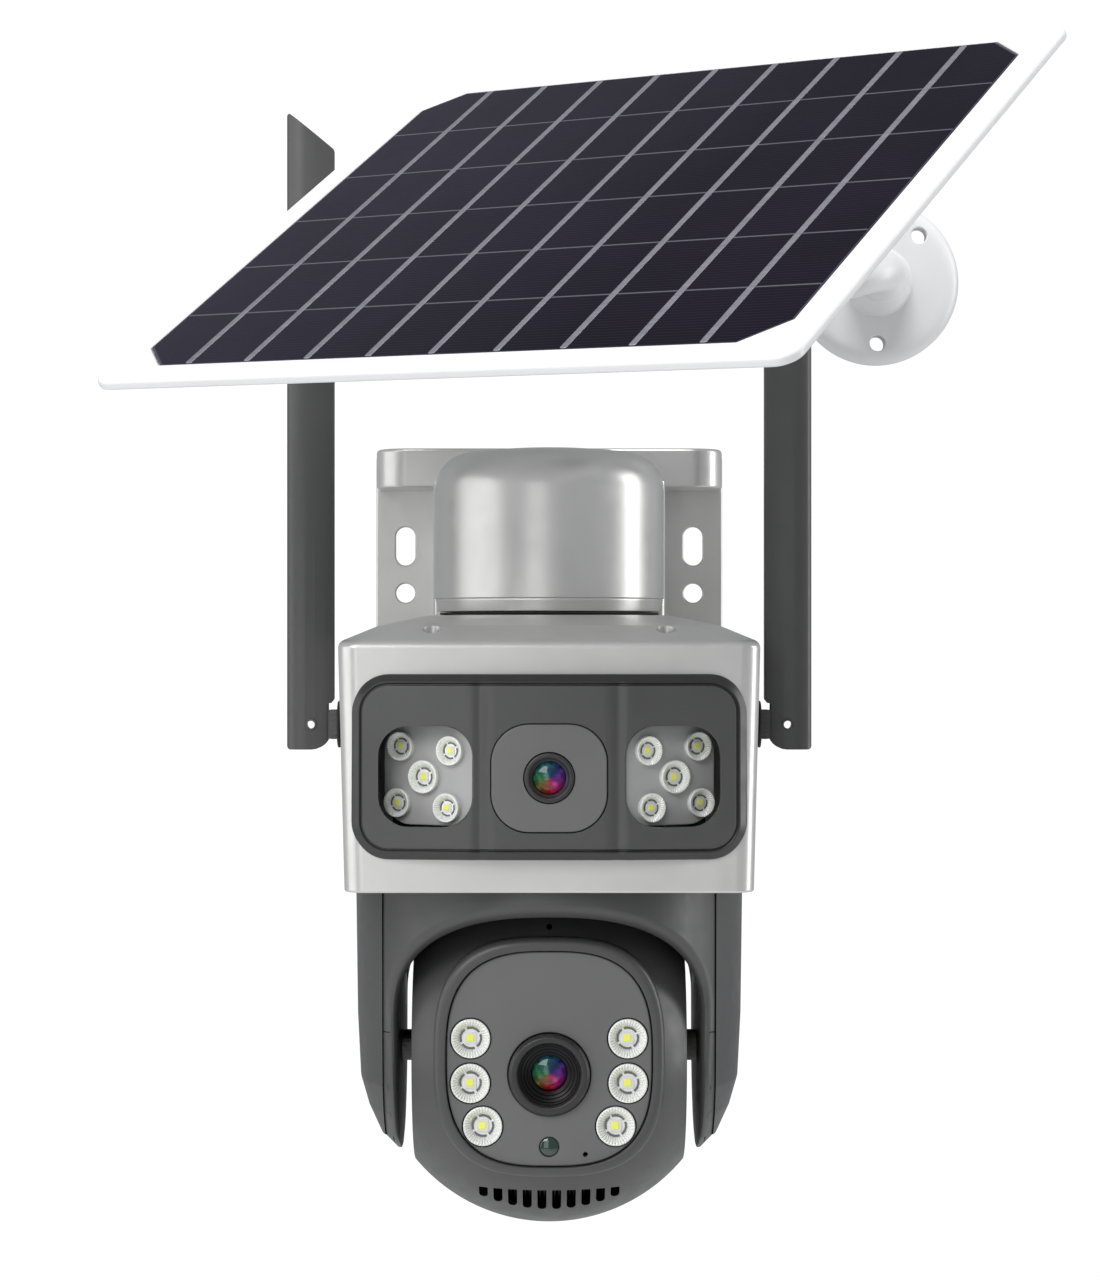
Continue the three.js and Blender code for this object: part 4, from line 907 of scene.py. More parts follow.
def build_fixed_camera():
    place = Place("centre_cover")
    barrel = Place("fixed_lens_barrel")
    glass = Place("fixed_lens_glass")
    outline = rectangle(place.size.x / 2, place.size.z / 2, COVER_CORNER, (0, place.mid.z), 12)
    cover = make("centre_cover_plate", slab(outline, place.high.y, place.low.y, 0, 0.45))
    hole = barrel.size.x / 2 + GAP
    combine(cover, rod(hole, 100, 160, (0, 0, barrel.mid.z), "front", sides=96))
    piece(shade(cover), "body", "grey_plastic", "centre_cover")
    front = -barrel.low.y
    radius, throat = barrel.size.x / 2, glass.size.x / 2 + 0.25
    profile = rounded([
        (0, -barrel.high.y, 0),
        (radius, -barrel.high.y, 0.3),
        (radius, front, 0.5),
        (radius - 1.3, front, 0.3),
        (throat + 0.5, front - 1.0, 0.2),
        (throat, front - 1.4, 0.15),
        (throat, front - 5, 0.1),
        (0, front - 5, 0),
    ], False, 4)
    ring = make("fixed_lens_ring", turned(profile, (0, 0, barrel.mid.z), "front"))
    piece(shade(ring, 30), "body", "charcoal_dark", "fixed_lens_barrel")
    build_lens("fixed_lens", glass, "body", "fixed_lens_glass")


def build_lens(name, place, body, node):
    """Front element as a shallow dome on a thin edge."""
    radius = place.size.x / 2
    front, back = -place.low.y, -place.high.y
    rise = min(front - back - 0.6, radius * 0.3)
    profile = [(0, back), (radius - 0.2, back), (radius, back + 0.2)]
    for i in range(13):
        share = 1 - i / 12
        profile.append((radius * share, front - rise * share**2))
    element = make(f"{name}_element", turned(profile, (0, 0, place.mid.z), "front"))
    # the coating material paints the coloured reflection of the lens coatings
    coating_reflection = coated_glass(f"{name}_coating", Vector((0, place.low.y, place.mid.z)), radius)
    piece(shade(element), body, coating_reflection, node, slot="lens_glass")


# ---------------------------------------------------------------- LEDs


def fluted_bowl(radius, depth, flutes=18, sides=144):
    """Reflector facing -Y round its own centre: rounded rim, fluted wall, flat floor."""
    floor = -depth * 0.8
    levels = [
        (0, -depth - 0.5, 0),
        (radius * 0.96, -depth - 0.5, 0),
        (radius, -depth * 0.5, 0),
        (radius, -0.15, 0),
        (radius * 0.98, 0, 0),
        (radius * 0.94, 0, 0.2),
        (radius * 0.88, -0.16 * depth, 0.9),
        (radius * 0.76, -0.38 * depth, 1),
        (radius * 0.66, -0.58 * depth, 0.8),
        (radius * 0.58, floor, 0.1),
        (radius * 0.3, floor, 0),
        (0, floor, 0),
    ]
    rings = []
    for ring_radius, height, ribbed in levels:
        ring = []
        for i in range(sides):
            angle = 2 * math.pi * i / sides
            rib = ribbed * radius * FLUTE_DEPTH * abs(math.sin(flutes * angle))
            ring.append((ring_radius * math.cos(angle), -(height + rib), ring_radius * math.sin(angle)))
        rings.append(ring)
    return skin(rings, ends=False)


def broken_ring(radius, depth, arcs=4):
    """Raised ring on the bowl's floor, cut into arcs."""
    shapes = []
    low, high = -depth * 0.82, -depth * 0.66
    inner, outer = radius * 0.47, radius * 0.57
    for arc in range(arcs):
        rings = []
        for i in range(9):
            angle = 2 * math.pi * (arc + 0.08 + 0.84 * i / 8) / arcs + 0.5
            corners = [(inner, low, 0), (outer, low, 0), (outer, high, 0.06), (inner, high, 0.06)]
            section = rounded(corners, True, 2)
            rings.append([(r * math.cos(angle), -h, r * math.sin(angle)) for r, h in section])
        shapes.append(skin(rings))
    return shapes


def led_chip(radius, depth):
    """Package of the LED and the phosphor on it."""
    half = radius * 0.3
    base, top = depth * 0.82, depth * 0.62
    package = slab(rectangle(half, half, half * 0.25, steps=4), base, top, 0, 0.08)
    spot = rectangle(half * 0.62, half * 0.62, 0.2, (-half * 0.1, half * 0.1), 3)
    dot = slab(spot, top + 0.1, top - 0.2, 0, 0.08)
    return package, dot


def led_parts(spots):
    """Bowls, rings, packages and dots for LEDs given as (matrix, radius, depth)."""
    parts = {"bowls": [], "rings": [], "packages": [], "phosphor": []}
    for matrix, radius, depth in spots:
        package, dot = led_chip(radius, depth)
        parts["bowls"].append(moved(fluted_bowl(radius, depth), matrix))
        parts["rings"] += [moved(arc, matrix) for arc in broken_ring(radius, depth)]
        parts["packages"].append(moved(package, matrix))
        parts["phosphor"].append(moved(dot, matrix))
    return parts


def place_chips(name, parts, body):
    """Rings, packages and phosphor dots of one group of LEDs."""
    for kind, finish in (("rings", "grey_plastic"), ("packages", "white_plastic"), ("phosphor", "phosphor")):
        made = make(f"{name}_{kind}", *parts[kind])
        piece(shade(made), body, finish, slot="reflector_white")


def build_led_bank(side, word):
    yaw = Matrix.Rotation(math.radians(side * LED_BOARD["yaw"]), 4, "Z")
    origin = Matrix.Translation((side * LED_BOARD["x"], LED_BOARD["y"], LED_BOARD["z"])) @ yaw
    shift_x, shift_z = LED_BOARD_SHIFT
    half = (LED_BOARD["width"] / 2, LED_BOARD["height"] / 2)
    outline = rectangle(*half, LED_BOARD["corner"], (-side * shift_x, shift_z))
    board = make(f"led_board_{word}", moved(slab(outline, 1.6, 0, 0, 0.4), origin))
    turn = Matrix.Rotation(math.radians(-side * LED_TURN), 4, "Y")
    spots = []
    for across, up in ((0, 0), (-1, 1), (1, 1), (-1, -1), (1, -1)):
        spot = turn @ Vector((across * LED_PITCH / 2, -LED_DEPTH, up * LED_PITCH / 2))
        radius = LED_RADIUS if across else LED_MIDDLE_RADIUS
        spots.append((origin @ Matrix.Translation(spot), radius, LED_DEPTH))
    parts = led_parts(spots)
    piece(shade(board), "body", "board_grey", f"led_bank_{word}")
    bowls = make(f"led_bowls_{word}", *parts["bowls"])
    piece(shade(bowls, 50), "body", "reflector_white")
    place_chips(f"led_bank_{word}", parts, "body")


def build_ball_leds():
    spots = []
    for i in range(6):
        place = Place(f"ball_reflector_{i + 1}")
        centre = Vector((place.mid.x, place.low.y + 0.15, place.mid.z))
        spots.append((Matrix.Translation(centre), place.size.x / 2, place.size.y - 0.7))
    parts = led_parts(spots)
    for i, bowl in enumerate(parts["bowls"]):
        made = make(f"ball_led_bowl_{i + 1}", bowl)
        piece(shade(made, 50), "ball", "reflector_white", f"ball_reflector_{i + 1}")
    place_chips("ball_led", parts, "ball")


# ---------------------------------------------------------------- fork


def yoke_radius(z):
    """Radius of the fork's outer surface at a height."""
    outline = [(61.6, 0)] + YOKE_PROFILE + [(YOKE_PROFILE[-1][0], -400)]
    for (upper, top), (lower, bottom) in zip(outline, outline[1:]):
        if bottom <= z <= top:
            return lower + (upper - lower) * (z - bottom) / (top - bottom)
    return YOKE_PROFILE[-1][0]


def yoke_round(grow, low, high, edge=0.0):
    """The fork's outer body of revolution between two heights."""
    corners = [(0, high, 0), (yoke_radius(high) + grow, high, edge)]
    for radius, z in YOKE_PROFILE:
        if low < z < high:
            corners.append((radius + grow, z, 2.0 if z < -170 else 6.0))
    corners += [(yoke_radius(low) + grow, low, edge), (0, low, 0)]
    return turned(rounded(corners, False, 5), (0, PAN_Y, 0), sides=160)


def arch_outline(grow):
    """Fork opening in (x, z): a superelliptic arch on two sides, whose growth fades downwards."""
    half = ARM_INNER_X + grow
    rise = ARCH["top"] - ARCH["spring"] + grow
    down = [ARCH["spring"] - (ARCH["spring"] - ARCH["low"]) * i / 16 for i in range(1, 17)]
    lean = [ARM_INNER_X + grow * (1 - ARCH["fade"] * i / 16) for i in range(1, 17)]
    points = list(zip(reversed(lean), reversed(down)))
    for i in range(49):
        angle = math.pi * i / 48
        c, s = math.cos(angle), math.sin(angle)
        x = half * math.copysign(abs(c) ** (2 / ARCH["power"]), c)
        points.append((x, ARCH["spring"] + rise * abs(s) ** (2 / ARCH["power"])))
    return points + [(-x, z) for x, z in zip(lean, down)]


def arch_ring(grow, depth, way):
    """Outline at a depth behind the fork's curved front (way -1) or back (way 1)."""
    ring = []
    for x, z in arch_outline(grow):
        reach = math.sqrt(max(yoke_radius(z) ** 2 - x * x, 60))
        ring.append((x, PAN_Y + way * (reach - depth), z))
    return ring


def arch_cutter():
    """Opening whose front and back edges are rounded along the curved surface."""
    across, deep = ARCH_FILLET["across"], ARCH_FILLET["deep"]
    levels = [(across, -3)]
    levels += [(across * (1 - s), deep * (1 - c)) for c, s in quarter(8)]
    front = [arch_ring(grow, depth, -1) for grow, depth in levels]
    back = [arch_ring(grow, depth, 1) for grow, depth in reversed(levels)]
    outline = arch_outline(across)
    ends = [[(x, PAN_Y + way * FAR, z) for x, z in outline] for way in (-1, 1)]
    return skin([ends[0], *front, *back, ends[1]])


def ball_profile(radius, flat, edge):
    """Sphere cut flat at both sides, as a profile for turning round X."""
    limit = math.asin(flat / radius)
    corners = [(0, -flat, 0), (math.sqrt(radius**2 - flat**2), -flat, edge)]
    for i in range(1, 48):
        angle = limit * (i / 24 - 1)
        corners.append((radius * math.cos(angle), radius * math.sin(angle), 0))
    corners += [(math.sqrt(radius**2 - flat**2), flat, edge), (0, flat, 0)]
    return rounded(corners, False, 5)


def arm_seam():
    """Thin joint line round both arms."""
    radius = yoke_radius(ARM_SEAM["z"]) - ARM_SEAM["deep"]
    low, high = ARM_SEAM["z"] - ARM_SEAM["width"] / 2, ARM_SEAM["z"] + ARM_SEAM["width"] / 2
    section = [(radius, low), (radius + 5, low), (radius + 5, high), (radius, high), (radius, low)]
    return turned(section, (0, PAN_Y, 0), sides=96)


def build_yoke():
    yoke = make("fork", yoke_round(0, YOKE_PROFILE[-1][1], YOKE_PROFILE[0][1], 0.6))
    hub = rod(YOKE_HUB["radius"], YOKE_PROFILE[0][1] - 3, YOKE_HUB["top"], (0, PAN_Y, 0), sides=64)
    unite(yoke, hub)
    tools = [
        turned(ball_profile(BALL_CAVITY, ARM_INNER_X, 0), BALL_CENTRE, "x"),
        arch_cutter(),
        rod(YOKE_HUB["bore"], -112, -70, (0, PAN_Y, 0), sides=64),
        arm_seam(),
        rod(AXLE_HOLE["fork"], -70, 70, BALL_CENTRE, "x"),
        rod(GEAR_ROOM, 49, 60, BALL_CENTRE, "x", sides=64),
        rod(GEAR_ROOM, -60, -49, BALL_CENTRE, "x", sides=64),
        rod(PINION["room"], 49, 60, (0, PAN_Y, PINION["z"]), "x"),
    ]
    for side in (-1, 1):
        x0, x1 = sorted((side * COVER_SEAM["x"], side * FAR))
        low, high = COVER_SEAM["bottom"] - GAP, COVER_SEAM["top"] + GAP
        tools.append(block((x0, PAN_Y - FAR, low), (x1, PAN_Y + FAR, high)))
    combine(yoke, *tools)
    piece(shade(yoke, 30), "yoke", "charcoal_plastic", "yoke")
    for side, word in SIDES:
        build_side_cover(side, word)


def build_side_cover(side, word):
    low, high = COVER_SEAM["bottom"], COVER_SEAM["top"]
    cover = make(f"arm_cover_{word}", yoke_round(COVER_PROUD, low, high, 0.6))
    inner = side * (COVER_SEAM["x"] + GAP)
    x0, x1 = sorted((inner, side * FAR))
    half_space = block((x0, PAN_Y - FAR, low - 5), (x1, PAN_Y + FAR, high + 5))
    combine(cover, half_space, operation="INTERSECT")
    combine(cover, yoke_round(-2.2, low + 2.2, high - 2.2))
    bake(soften(cover, 0.45, 40, 3))
    node = f"side_cover_{word}"
    piece(shade(cover, 50), "yoke", "charcoal_plastic", node)


# ---------------------------------------------------------------- ball head


def vent_slots():
    """Slot outlines under the face: straight sides, round lower ends, shorter towards the sides."""
    middle = (VENT["count"] - 1) / 2
    slots = []
    for i in range(VENT["count"]):
        x = (i - middle) * VENT["pitch"]
        outward = abs(i - middle) / middle
        bottom = VENT["bottom"] + (VENT["end_bottom"] - VENT["bottom"]) * outward**2
        slots.append((x, bottom))
    return slots


def build_vents(shell):
    half = VENT["width"] / 2
    tools = []
    ribs = []
    for x, bottom in vent_slots():
        corners = [(x - half, VENT["top"], 0.3), (x + half, VENT["top"], 0.3)]
        corners += [(x + half, bottom, 1.2), (x - half, bottom, 1.2)]
        outline = rounded(corners, True, 5)
        tools.append(prism(outline, (-135, -88)))
        for offset in (-0.55, 0.75):
            ribs.append(vent_rib(x + offset))
    combine(shell, *tools)
    fins = shade(make("ball_vent_fins", *ribs))
    piece(fins, "ball", "dark_ring")


def vent_rib(x):
    """Thin fin inside the ball, just behind the vent slots."""
    round_here = math.sqrt(BALL["radius"] ** 2 - x**2)
    outer, inner, half = round_here - 3.2, round_here - 7, 0.22
    outline = []
    for radius, angles in ((outer, range(0, 9)), (inner, range(8, -1, -1))):
        for i in angles:
            angle = math.radians(222 + 3 * i)
            y = BALL_CENTRE.y + radius * math.cos(angle)
            outline.append((y, BALL_CENTRE.z + radius * math.sin(angle)))
    return prism(outline, (x - half, x + half), on_side)


def build_ball_shells():
    radius, flat, wall = BALL["radius"], BALL["flat"], BALL["wall"]
    split = BALL["split_y"]
    front = make("ball_front", turned(ball_profile(radius, flat, 0.7), BALL_CENTRE, "x", 144))
    ring = oval(FACE["half_x"], FACE["half_z"], FACE["power"], (0, FACE["z"]))
    unite(front, slab(ring, -100, FACE["front"], 0, FACE["edge"], steps=8))
    hollow = turned(ball_profile(radius - wall, flat - wall, 0.5), BALL_CENTRE, "x")
    door = oval(PANEL_FACE["half_x"] + GAP, PANEL_FACE["half_z"] + GAP, FACE["power"], (0, PANEL_FACE["z"]))
    edge = FACE["front"]
    lip = [(0, -85), (0, edge + 0.5), (-0.15, edge + 0.15), (-0.5, edge), (-0.5, -140)]
    doorway = stepped(door, lip)
    mic = rod(PINHOLE, 90, 130, (0, 0, MIC_HOLE_Z), "front", sides=24)
    back_half = block((-FAR, split - GAP / 2, -300), (FAR, 100, 0))
    combine(front, hollow, doorway, mic, back_half)
    build_vents(front)
    piece(shade(front, 30), "ball", "charcoal_plastic", "ball_front_shell")
    rear = make("ball_rear", turned(ball_profile(radius, flat, 0.7), BALL_CENTRE, "x", 144))
    front_half = block((-FAR, -200, -300), (FAR, split + GAP / 2, 0))
    combine(rear, hollow, front_half, rod(AXLE_HOLE["ball"], -70, 70, BALL_CENTRE, "x"))
    piece(shade(rear, 30), "ball", "charcoal_plastic", "ball_rear_shell")


def build_face():
    place = Place("face_panel")
    outline = oval(PANEL_FACE["half_x"], PANEL_FACE["half_z"], FACE["power"], (0, PANEL_FACE["z"]))
    face = make("ball_face", slab(outline, place.high.y, place.low.y, 0, 0.5))
    barrel, sensor = Place("ball_lens_barrel"), Place("light_sensor")
    holes = [(barrel.mid.x, barrel.mid.z, barrel.size.x / 2 + GAP)]
    holes.append((sensor.mid.x, sensor.mid.z, sensor.size.x / 2 + 0.08))
    holes.append((*RESET_HOLE, PINHOLE * 0.8))
    for i in range(6):
        bowl = Place(f"ball_reflector_{i + 1}")
        holes.append((bowl.mid.x, bowl.mid.z, bowl.size.x / 2 + GAP + 0.1))
    tools = []
    front = -place.low.y
    for x, z, radius in holes:
        profile = [(0, 100), (radius, 100), (radius, front - 0.25)]
        profile += [(radius + 0.25, front), (radius + 0.25, 130), (0, 130)]
        tools.append(turned(profile, (x, 0, z), "front", 64))
    combine(face, *tools)
    piece(shade(face, 30), "ball", "grey_plastic", "face_panel")
    eye = [(sensor.size.x / 2 * c, front - 0.6 + 0.9 * s) for c, s in quarter(8)]
    profile = [(0, -sensor.high.y), (sensor.size.x / 2, -sensor.high.y), *eye]
    lens = make("sensor_window", turned(profile, (sensor.mid.x, 0, sensor.mid.z), "front", 64))
    piece(shade(lens), "ball", "sensor_glass", "light_sensor")


def build_ball_lens():
    """Satin ring, then black steps down to the glass."""
    barrel, glass = Place("ball_lens_barrel"), Place("ball_lens_glass")
    front, back = -barrel.low.y, -barrel.high.y
    radius, throat, eye = barrel.size.x / 2, 9.3, glass.size.x / 2 + 0.2
    ring_profile = rounded([
        (throat, back, 0),
        (radius, back, 0.2),
        (radius, front - 0.9, 0.6),
        (radius - 1.0, front, 0.6),
        (throat + 0.8, front, 0.5),
        (throat, front - 1.2, 0.2),
    ], False, 5)
    centre = (0, 0, barrel.mid.z)
    ring = make("ball_lens_ring", turned([*ring_profile, ring_profile[0]], centre, "front", 128))
    piece(shade(ring, 40), "ball", "charcoal_dark", "ball_lens_barrel")
    steps = [(0, back + 4, 0), (throat, back + 4, 0), (throat, front - 1.3, 0.2)]
    for share in (0.2, 0.45, 0.7, 1.0):
        here = throat + (eye - throat) * share
        depth = front - 1.3 - 3.4 * share
        steps.append((here + 0.25, depth + 0.5, 0.12))
        steps.append((here, depth, 0.12))
    steps += [(eye, front - 9.2, 0), (0, front - 9.2, 0)]
    well = make("ball_lens_well", turned(rounded(steps, False, 3), centre, "front", 128))
    piece(shade(well, 30), "ball", "dark_ring")
    build_lens("ball_lens", glass, "ball", "ball_lens_glass")


# ---------------------------------------------------------------- antennas


def blade_section(side, y):
    """Crowned cross-section in (x, y): thin outer edge, crest near the outer third."""
    inner, outer, half = BLADE["inner"], BLADE["outer"], BLADE["thick"] / 2
    stations = [(0.0, 0.42), (0.03, 0.5), (0.18, 0.72), (0.4, 0.9), (0.6, 0.985), (0.72, 1.0)]
    stations += [(0.84, 0.93), (0.93, 0.74), (0.975, 0.56), (1.0, 0.42)]
    front = [(side * (inner + (outer - inner) * s), y - half * t) for s, t in stations]
    back = [(side * (inner + (outer - inner) * s), y + half * t) for s, t in reversed(stations)]
    return front + back


def blade_outline(side):
    foot, corner = BLADE_FOOT["z"], BLADE_FOOT["corner"]
    corners = [
        (BLADE["neck"], foot, corner),
        (BLADE["outer"], foot, 1.2),
        (BLADE["outer"], BLADE_TIP["outer"], 0.7),
        (BLADE["inner"], BLADE_TIP["inner"], 0.7),
        (BLADE["inner"], BLADE_FOOT["step"] + 1.6, 0.5),
        (BLADE["neck"], BLADE_FOOT["step"], 0.5),
    ]
    return rounded([(side * x, z, radius) for x, z, radius in corners], True, 6)


def build_antenna(side, word):
    pin = PIN[f"antenna_fold_{word}"]
    levels = (BLADE_FOOT["z"] - 2, BLADE_TIP["outer"] + 2)
    section = blade_section(side, pin.y)
    blade = make(f"antenna_{word}_blade", skin([[(x, y, z) for x, y in section] for z in levels]))
    combine(blade, prism(blade_outline(side), (pin.y - 12, pin.y + 12)), operation="INTERSECT")
    x0, x1 = sorted((side * (BLADE["inner"] - 5), side * (BLADE["outer"] - 2.4)))
    half = BLADE_FOOT["slot_half"]
    slot = block((x0, pin.y - half, -80), (x1, pin.y + half, BLADE_FOOT["slot_top"]))
    combine(blade, slot, rod(BLADE_PIN["radius"] + 0.04, 40, 120, (pin.x, 0, pin.z), "front"))
    bake(soften(blade, 0.35, 50, 2))
    node = f"antenna_blade_{word}"
    piece(shade(blade, 40), f"antenna_{word}", "charcoal_plastic", node)
    build_knuckle(side, word, pin)


def build_knuckle(side, word, pin):
    """Tongue with its hollow pin, on a ribbed collar and a shaft into the housing.

    The collar is flat at front and back, so the blade's cheeks clear it when the blade folds."""
    radius, start = TONGUE["radius"], TONGUE["start"]
    end = pin.x * side
    near, far, nose = side * start, side * (end + radius), radius - 0.01
    tongue_corners = [(near, pin.z - radius, 0.3), (far, pin.z - radius, nose)]
    tongue_corners += [(far, pin.z + radius, nose), (near, pin.z + radius, 0.3)]
    outline = rounded(tongue_corners, True, 8)
    half = TONGUE["half"]
    knuckle = make(f"antenna_{word}_knuckle", prism(outline, (pin.y - half, pin.y + half)))
    reach = BLADE["thick"] / 2 - 0.05
    middle = (pin.x, 0, pin.z)
    unite(knuckle, rod(BLADE_PIN["radius"], -pin.y - reach, -pin.y + reach, middle, "front", 0.25))
    collar = []
    for x, swell in ((start - 0.1, -0.5), (start + 0.2, 0), (start + 1.9, 0), (start + 2.1, -0.4)):
        ring = []
        for i in range(144):
            angle = 2 * math.pi * i / 144
            groove = COLLAR["rib"] * math.cos(COLLAR["ribs"] * angle)
            rib = radius + 0.1 + swell + groove
            flat = BLADE_FOOT["slot_half"] - GAP + groove
            depth = max(-flat, min(flat, rib * math.cos(angle)))
            ring.append((side * x, pin.y + depth, pin.z + rib * math.sin(angle)))
        collar.append(ring)
    x0, x1 = sorted((side * 60, side * (start + 1)))
    unite(knuckle, skin(collar), rod(SHAFT_RADIUS, x0, x1, (0, pin.y, pin.z), "x", sides=32))
    bore = BLADE_PIN["bore"]
    drill = [(0, 0), (bore + 0.5, 0), (bore + 0.5, -pin.y - reach)]
    drill += [(bore, -pin.y + reach), (bore, 120), (0, 120)]
    combine(knuckle, turned(drill, middle, "front", 32))
    node = f"antenna_knuckle_{word}"
    piece(shade(knuckle, 35), f"antenna_swivel_{word}", "charcoal_plastic", node)
    place = Place(f"antenna_washer_{word}")
    washer = pipe(place.size.z / 2, 2.8, place.low.x, place.high.x, (0, pin.y, pin.z), "x", 0.3, 64)
    node = f"antenna_washer_{word}"
    piece(shade(make(f"antenna_{word}_washer", washer)), "body", "seal_rubber", node)


# ---------------------------------------------------------------- solar panel
pitch, roll, yaw = (math.radians(angle) for angle in PANEL_EULER)
PANEL_TURN = Matrix.Rotation(yaw, 3, "Z") @ Matrix.Rotation(roll, 3, "Y") @ Matrix.Rotation(pitch, 3, "X")
PANEL_CENTRE = TILT_PIN - PANEL_TURN @ PANEL_PIVOT


def local_size(node):
    """Width and height of a panel node in the panel's own axes."""
    inverse = PANEL_TURN.transposed()
    points = [inverse @ (vertex.co / MM - PANEL_CENTRE) for vertex in frame["nodes"][node].data.vertices]
    width = max(p.x for p in points) - min(p.x for p in points)
    height = max(p.y for p in points) - min(p.y for p in points)
    return width, height


def on_panel(made):
    """Puts an object drawn in the panel's own axes in its place."""
    made.matrix_world = Matrix.Translation(PANEL_CENTRE * MM) @ PANEL_TURN.to_4x4()
    bpy.context.view_layer.update()
    return made


def build_panel_frame():
    width, height = local_size("panel_frame")
    sheet_width, sheet_height = local_size("solar_cells")
    outline = rectangle(width / 2, height / 2, RIM["corner"], steps=14)
    rim = make("panel_rim", slab(outline, -RIM["thick"], 0, 0.8, RIM["edge"], on_flat, 6))
    tray_depth = -RIM["thick"] - TRAY["depth"]
    top, bottom = TRAY["inset"], TRAY["inset"] + TRAY["taper"]
    tray = [(top - 1, -2), (top, -4), (bottom, tray_depth + 1), (bottom + 1, tray_depth)]
    unite(rim, stepped(outline, tray, on_flat))
    recess = chamfered(sheet_width / 2 + GAP, sheet_height / 2 + GAP, CELL_CORNER)
    levels = [(0, -CELL_RECESS), (0, -0.35), (-0.35, 0), (-0.35, 4)]
    combine(rim, stepped(recess, levels, on_flat))
    piece(shade(on_panel(rim), 30), "panel", "white_plastic", "panel_frame")


def build_cells():
    width, height = local_size("solar_cells")
    outline = chamfered(width / 2, height / 2, CELL_CORNER)
    back, front = GAP - CELL_RECESS, GAP - CELL_RECESS + 1
    sheet = make("cell_sheet", slab(outline, back, front, 0, 0.1, on_flat, 2))
    piece(shade(on_panel(sheet)), "panel", "cell_backing", "solar_cells")
    columns, rows = CELL_GRID
    step_x, step_y = width / columns, height / rows
    tiles = []
    for column in range(columns):
        for row in range(rows):
            centre = ((column + 0.5) * step_x - width / 2, (row + 0.5) * step_y - height / 2)
            half = (step_x / 2 - BUSBAR_WIDTH / 4, (step_y - CELL_GAP) / 2)
            tile = rectangle(*half, 0.4, centre, 2)
            tiles.append(slab(tile, front - 0.1, front + 0.1, 0, 0.05, on_flat, 2))
    cells = make("cell_tiles", *tiles)
    kept = chamfered(width / 2 - 0.5, height / 2 - 0.5, CELL_CORNER)
    combine(cells, slab(kept, -3, 3, to_world=on_flat), operation="INTERSECT")
    piece(shade(on_panel(cells)), "panel", "solar_cells")
    bars = []
    for column in range(1, columns):
        x = column * step_x - width / 2
        bar = rectangle(BUSBAR_WIDTH / 2, height / 2 - 0.6, 0.3, (x, 0), 2)
        bars.append(slab(bar, front - 0.05, front + 0.22, 0, 0.12, on_flat, 3))
    strips = make("cell_busbars", *bars)
    piece(shade(on_panel(strips)), "panel", "busbar")
    lines = []
    for row in range(1, rows):
        line = rectangle(width / 2 - 0.6, 0.3, 0.1, (0, row * step_y - height / 2), 2)
        lines.append(slab(line, front - 0.05, front + 0.14, 0, 0.05, on_flat, 2))
    rows_made = make("cell_row_lines", *lines)
    piece(shade(on_panel(rows_made)), "panel", "row_line")


# ---------------------------------------------------------------- wall plate and arm of the panel


def build_disc():
    place = Place("panel_wall_disc")
    centre = (place.mid.x, 0, place.mid.z)
    radius, thick, rim = place.size.x / 2, DISC["thick"], DISC["rim"]
    profile = [(0, 0), (radius - 0.4, 0), (radius, 0.4)]
    for c, s in quarter(12):
        profile.append((radius - rim * (1 - c), thick - (thick - DISC["edge"]) * (1 - s)))
    profile += rounded([
        (radius - rim - 1, thick, 0),
        (BOSS["radius"], thick, 1.2),
        (BOSS["tip"], BOSS["front"], 1.4),
        (0, BOSS["front"], 0),
    ], False, 6)
    disc = make("panel_wall_plate", turned(profile, centre, "front", 144))
    tools = []
    for angle in DISC["angles"]:
        turn, reach = math.radians(angle), DISC["hole_circle"]
        spot = (centre[0] + reach * math.cos(turn), 0, centre[2] + reach * math.sin(turn))
        hole = DISC["hole"]
        funnel = [(0, -5), (hole, -5), (hole, thick - 0.4), (hole + 0.4, thick), (hole + 0.4, 20), (0, 20)]
        tools.append(turned(funnel, spot, "front", 48))
    combine(disc, *tools)
    piece(shade(disc, 35), "body", "white_plastic", "panel_wall_disc")


def swept(path, radii, sides=40):
    """Round tube along a path, carried along without twist."""
    rings = []
    across = Vector((0, 0, 1))
    for i, point in enumerate(path):
        ahead = path[min(i + 1, len(path) - 1)] - path[max(i - 1, 0)]
        ahead.normalize()
        across = (across - ahead * across.dot(ahead)).normalized()
        other = ahead.cross(across)
        rings.append([point + radii[i] * (across * c + other * s) for c, s in circle(sides)])
    return skin(rings)


def build_arm():
    disc = Place("panel_wall_disc").mid
    start = (disc.x, -BOSS["front"] - GAP, disc.z, 0)
    corner = (disc.x, ARM["out_y"], disc.z, ARM["bend"])
    end = (TILT_PIN.x, TILT_PIN.y, TILT_PIN.z - ARM_HUB["arm_drop"], 0)
    path = rounded([start, corner, (*ARM["elbow"], 26), end], False, 14)
    radii = []
    for point in path:
        flare = max(1 - (point - Vector(start[:3])).length / 16, 0)
        radii.append(ARM["radius"] + (ARM["root"] - ARM["radius"]) * flare**2)
    arm = make("panel_arm_tube", swept(path, radii))
    base, top = -ARM_HUB["base"], -ARM_HUB["top"]
    hub = rod(ARM_HUB["radius"], base, top, TILT_PIN, edge=0.8)
    spigot = rod(ARM_HUB["spigot"], base + 4, -ARM_HUB["spigot_top"], TILT_PIN, edge=0.4)
    unite(arm, hub, spigot)
    piece(shade(arm, 35), "body", "white_plastic", "panel_arm")


# ---------------------------------------------------------------- CAD nodes that stay


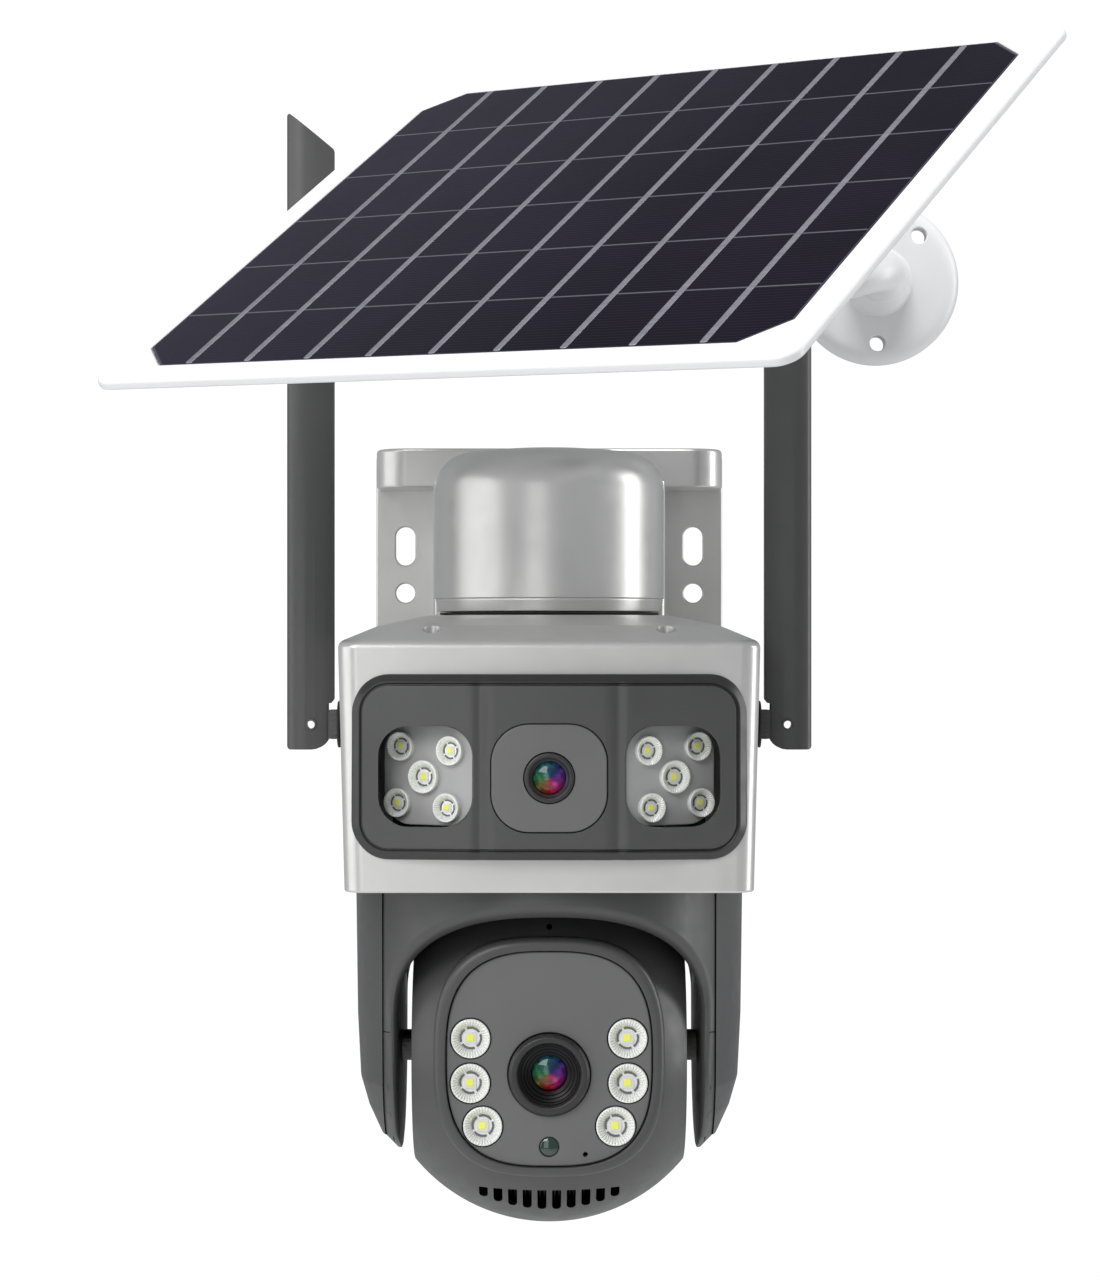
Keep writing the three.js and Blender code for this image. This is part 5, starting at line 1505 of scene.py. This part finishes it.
def dress_nodes():
    """Edges and finishes of the CAD nodes that are shown as they are."""
    for entry in frame["record"]["subparts"]:
        node = frame["nodes"][entry["node"]]
        if node.hide_render:
            continue
        node.data.materials.clear()
        node.data.materials.append(FINISH[entry["material_slot"]])
        soften(node, 0.25, 35)
        even_normals(node)


# ---------------------------------------------------------------- stage


def build_floor():
    """Pale studio floor, well below the object."""
    nodes = Nodes("studio_floor")
    nodes.colour(nodes.ramp(nodes.noise(2), shades((0.86, 0.86, 0.86), 0.01)))
    nodes.gloss(nodes.noise(8), 0.6, 0.7)
    outline = oval(FLOOR["radius"], FLOOR["radius"], count=96)
    floor = make("floor", slab(outline, FLOOR["top"] - FLOOR["thick"], FLOOR["top"], to_world=on_flat))
    floor.data.materials.append(nodes.material)


def add_light(name, spot, size, power, colour=(1, 1, 1)):
    """Soft box that looks at the middle of the object."""
    light = bpy.data.lights.new(name, "AREA")
    light.shape = "RECTANGLE"
    light.size, light.size_y = size
    light.energy = power
    light.color = colour
    lamp = bpy.data.objects.new(name, light)
    bpy.context.scene.collection.objects.link(lamp)
    lamp.location = spot
    aim = Vector(LIGHT_TARGET) - Vector(spot)
    lamp.rotation_euler = aim.to_track_quat("-Z", "Y").to_euler()


def build_world():
    """White studio: soft grey surroundings for the object, plain white behind it."""
    world = bpy.data.worlds.new("studio")
    bpy.context.scene.world = world
    world.use_nodes = True
    tree = world.node_tree
    around = tree.nodes["Background"]
    around.inputs["Color"].default_value = WORLD["around"]
    around.inputs["Strength"].default_value = WORLD["around_strength"]
    behind = tree.nodes.new("ShaderNodeBackground")
    behind.inputs["Color"].default_value = (1, 1, 1, 1)
    behind.inputs["Strength"].default_value = WORLD["behind_strength"]
    path = tree.nodes.new("ShaderNodeLightPath")
    mix = tree.nodes.new("ShaderNodeMixShader")
    tree.links.new(path.outputs["Is Camera Ray"], mix.inputs["Fac"])
    tree.links.new(around.outputs["Background"], mix.inputs[1])
    tree.links.new(behind.outputs["Background"], mix.inputs[2])
    tree.links.new(mix.outputs["Shader"], tree.nodes["World Output"].inputs["Surface"])


def build_stage():
    build_floor()
    build_world()
    for name, light in LIGHTS.items():
        add_light(name, **light)
    camera = bpy.data.cameras.new("camera")
    camera.sensor_width = CAMERA["sensor"]
    camera.lens = CAMERA["lens"]
    holder = bpy.data.objects.new("camera", camera)
    bpy.context.scene.collection.objects.link(holder)
    holder.location = Vector(CAMERA["spot"]) * MM
    holder.rotation_euler = Euler((math.pi / 2, 0, 0))
    bpy.context.scene.camera = holder
    bpy.context.scene.view_settings.view_transform = "Standard"


build_bracket()
build_dome()
build_housing()
build_bezel()
build_fixed_camera()
for side, word in SIDES:
    build_led_bank(side, word)
build_yoke()
build_ball_shells()
build_face()
build_ball_lens()
build_ball_leds()
for side, word in SIDES:
    build_antenna(side, word)
build_panel_frame()
build_cells()
build_disc()
build_arm()
dress_nodes()
build_stage()
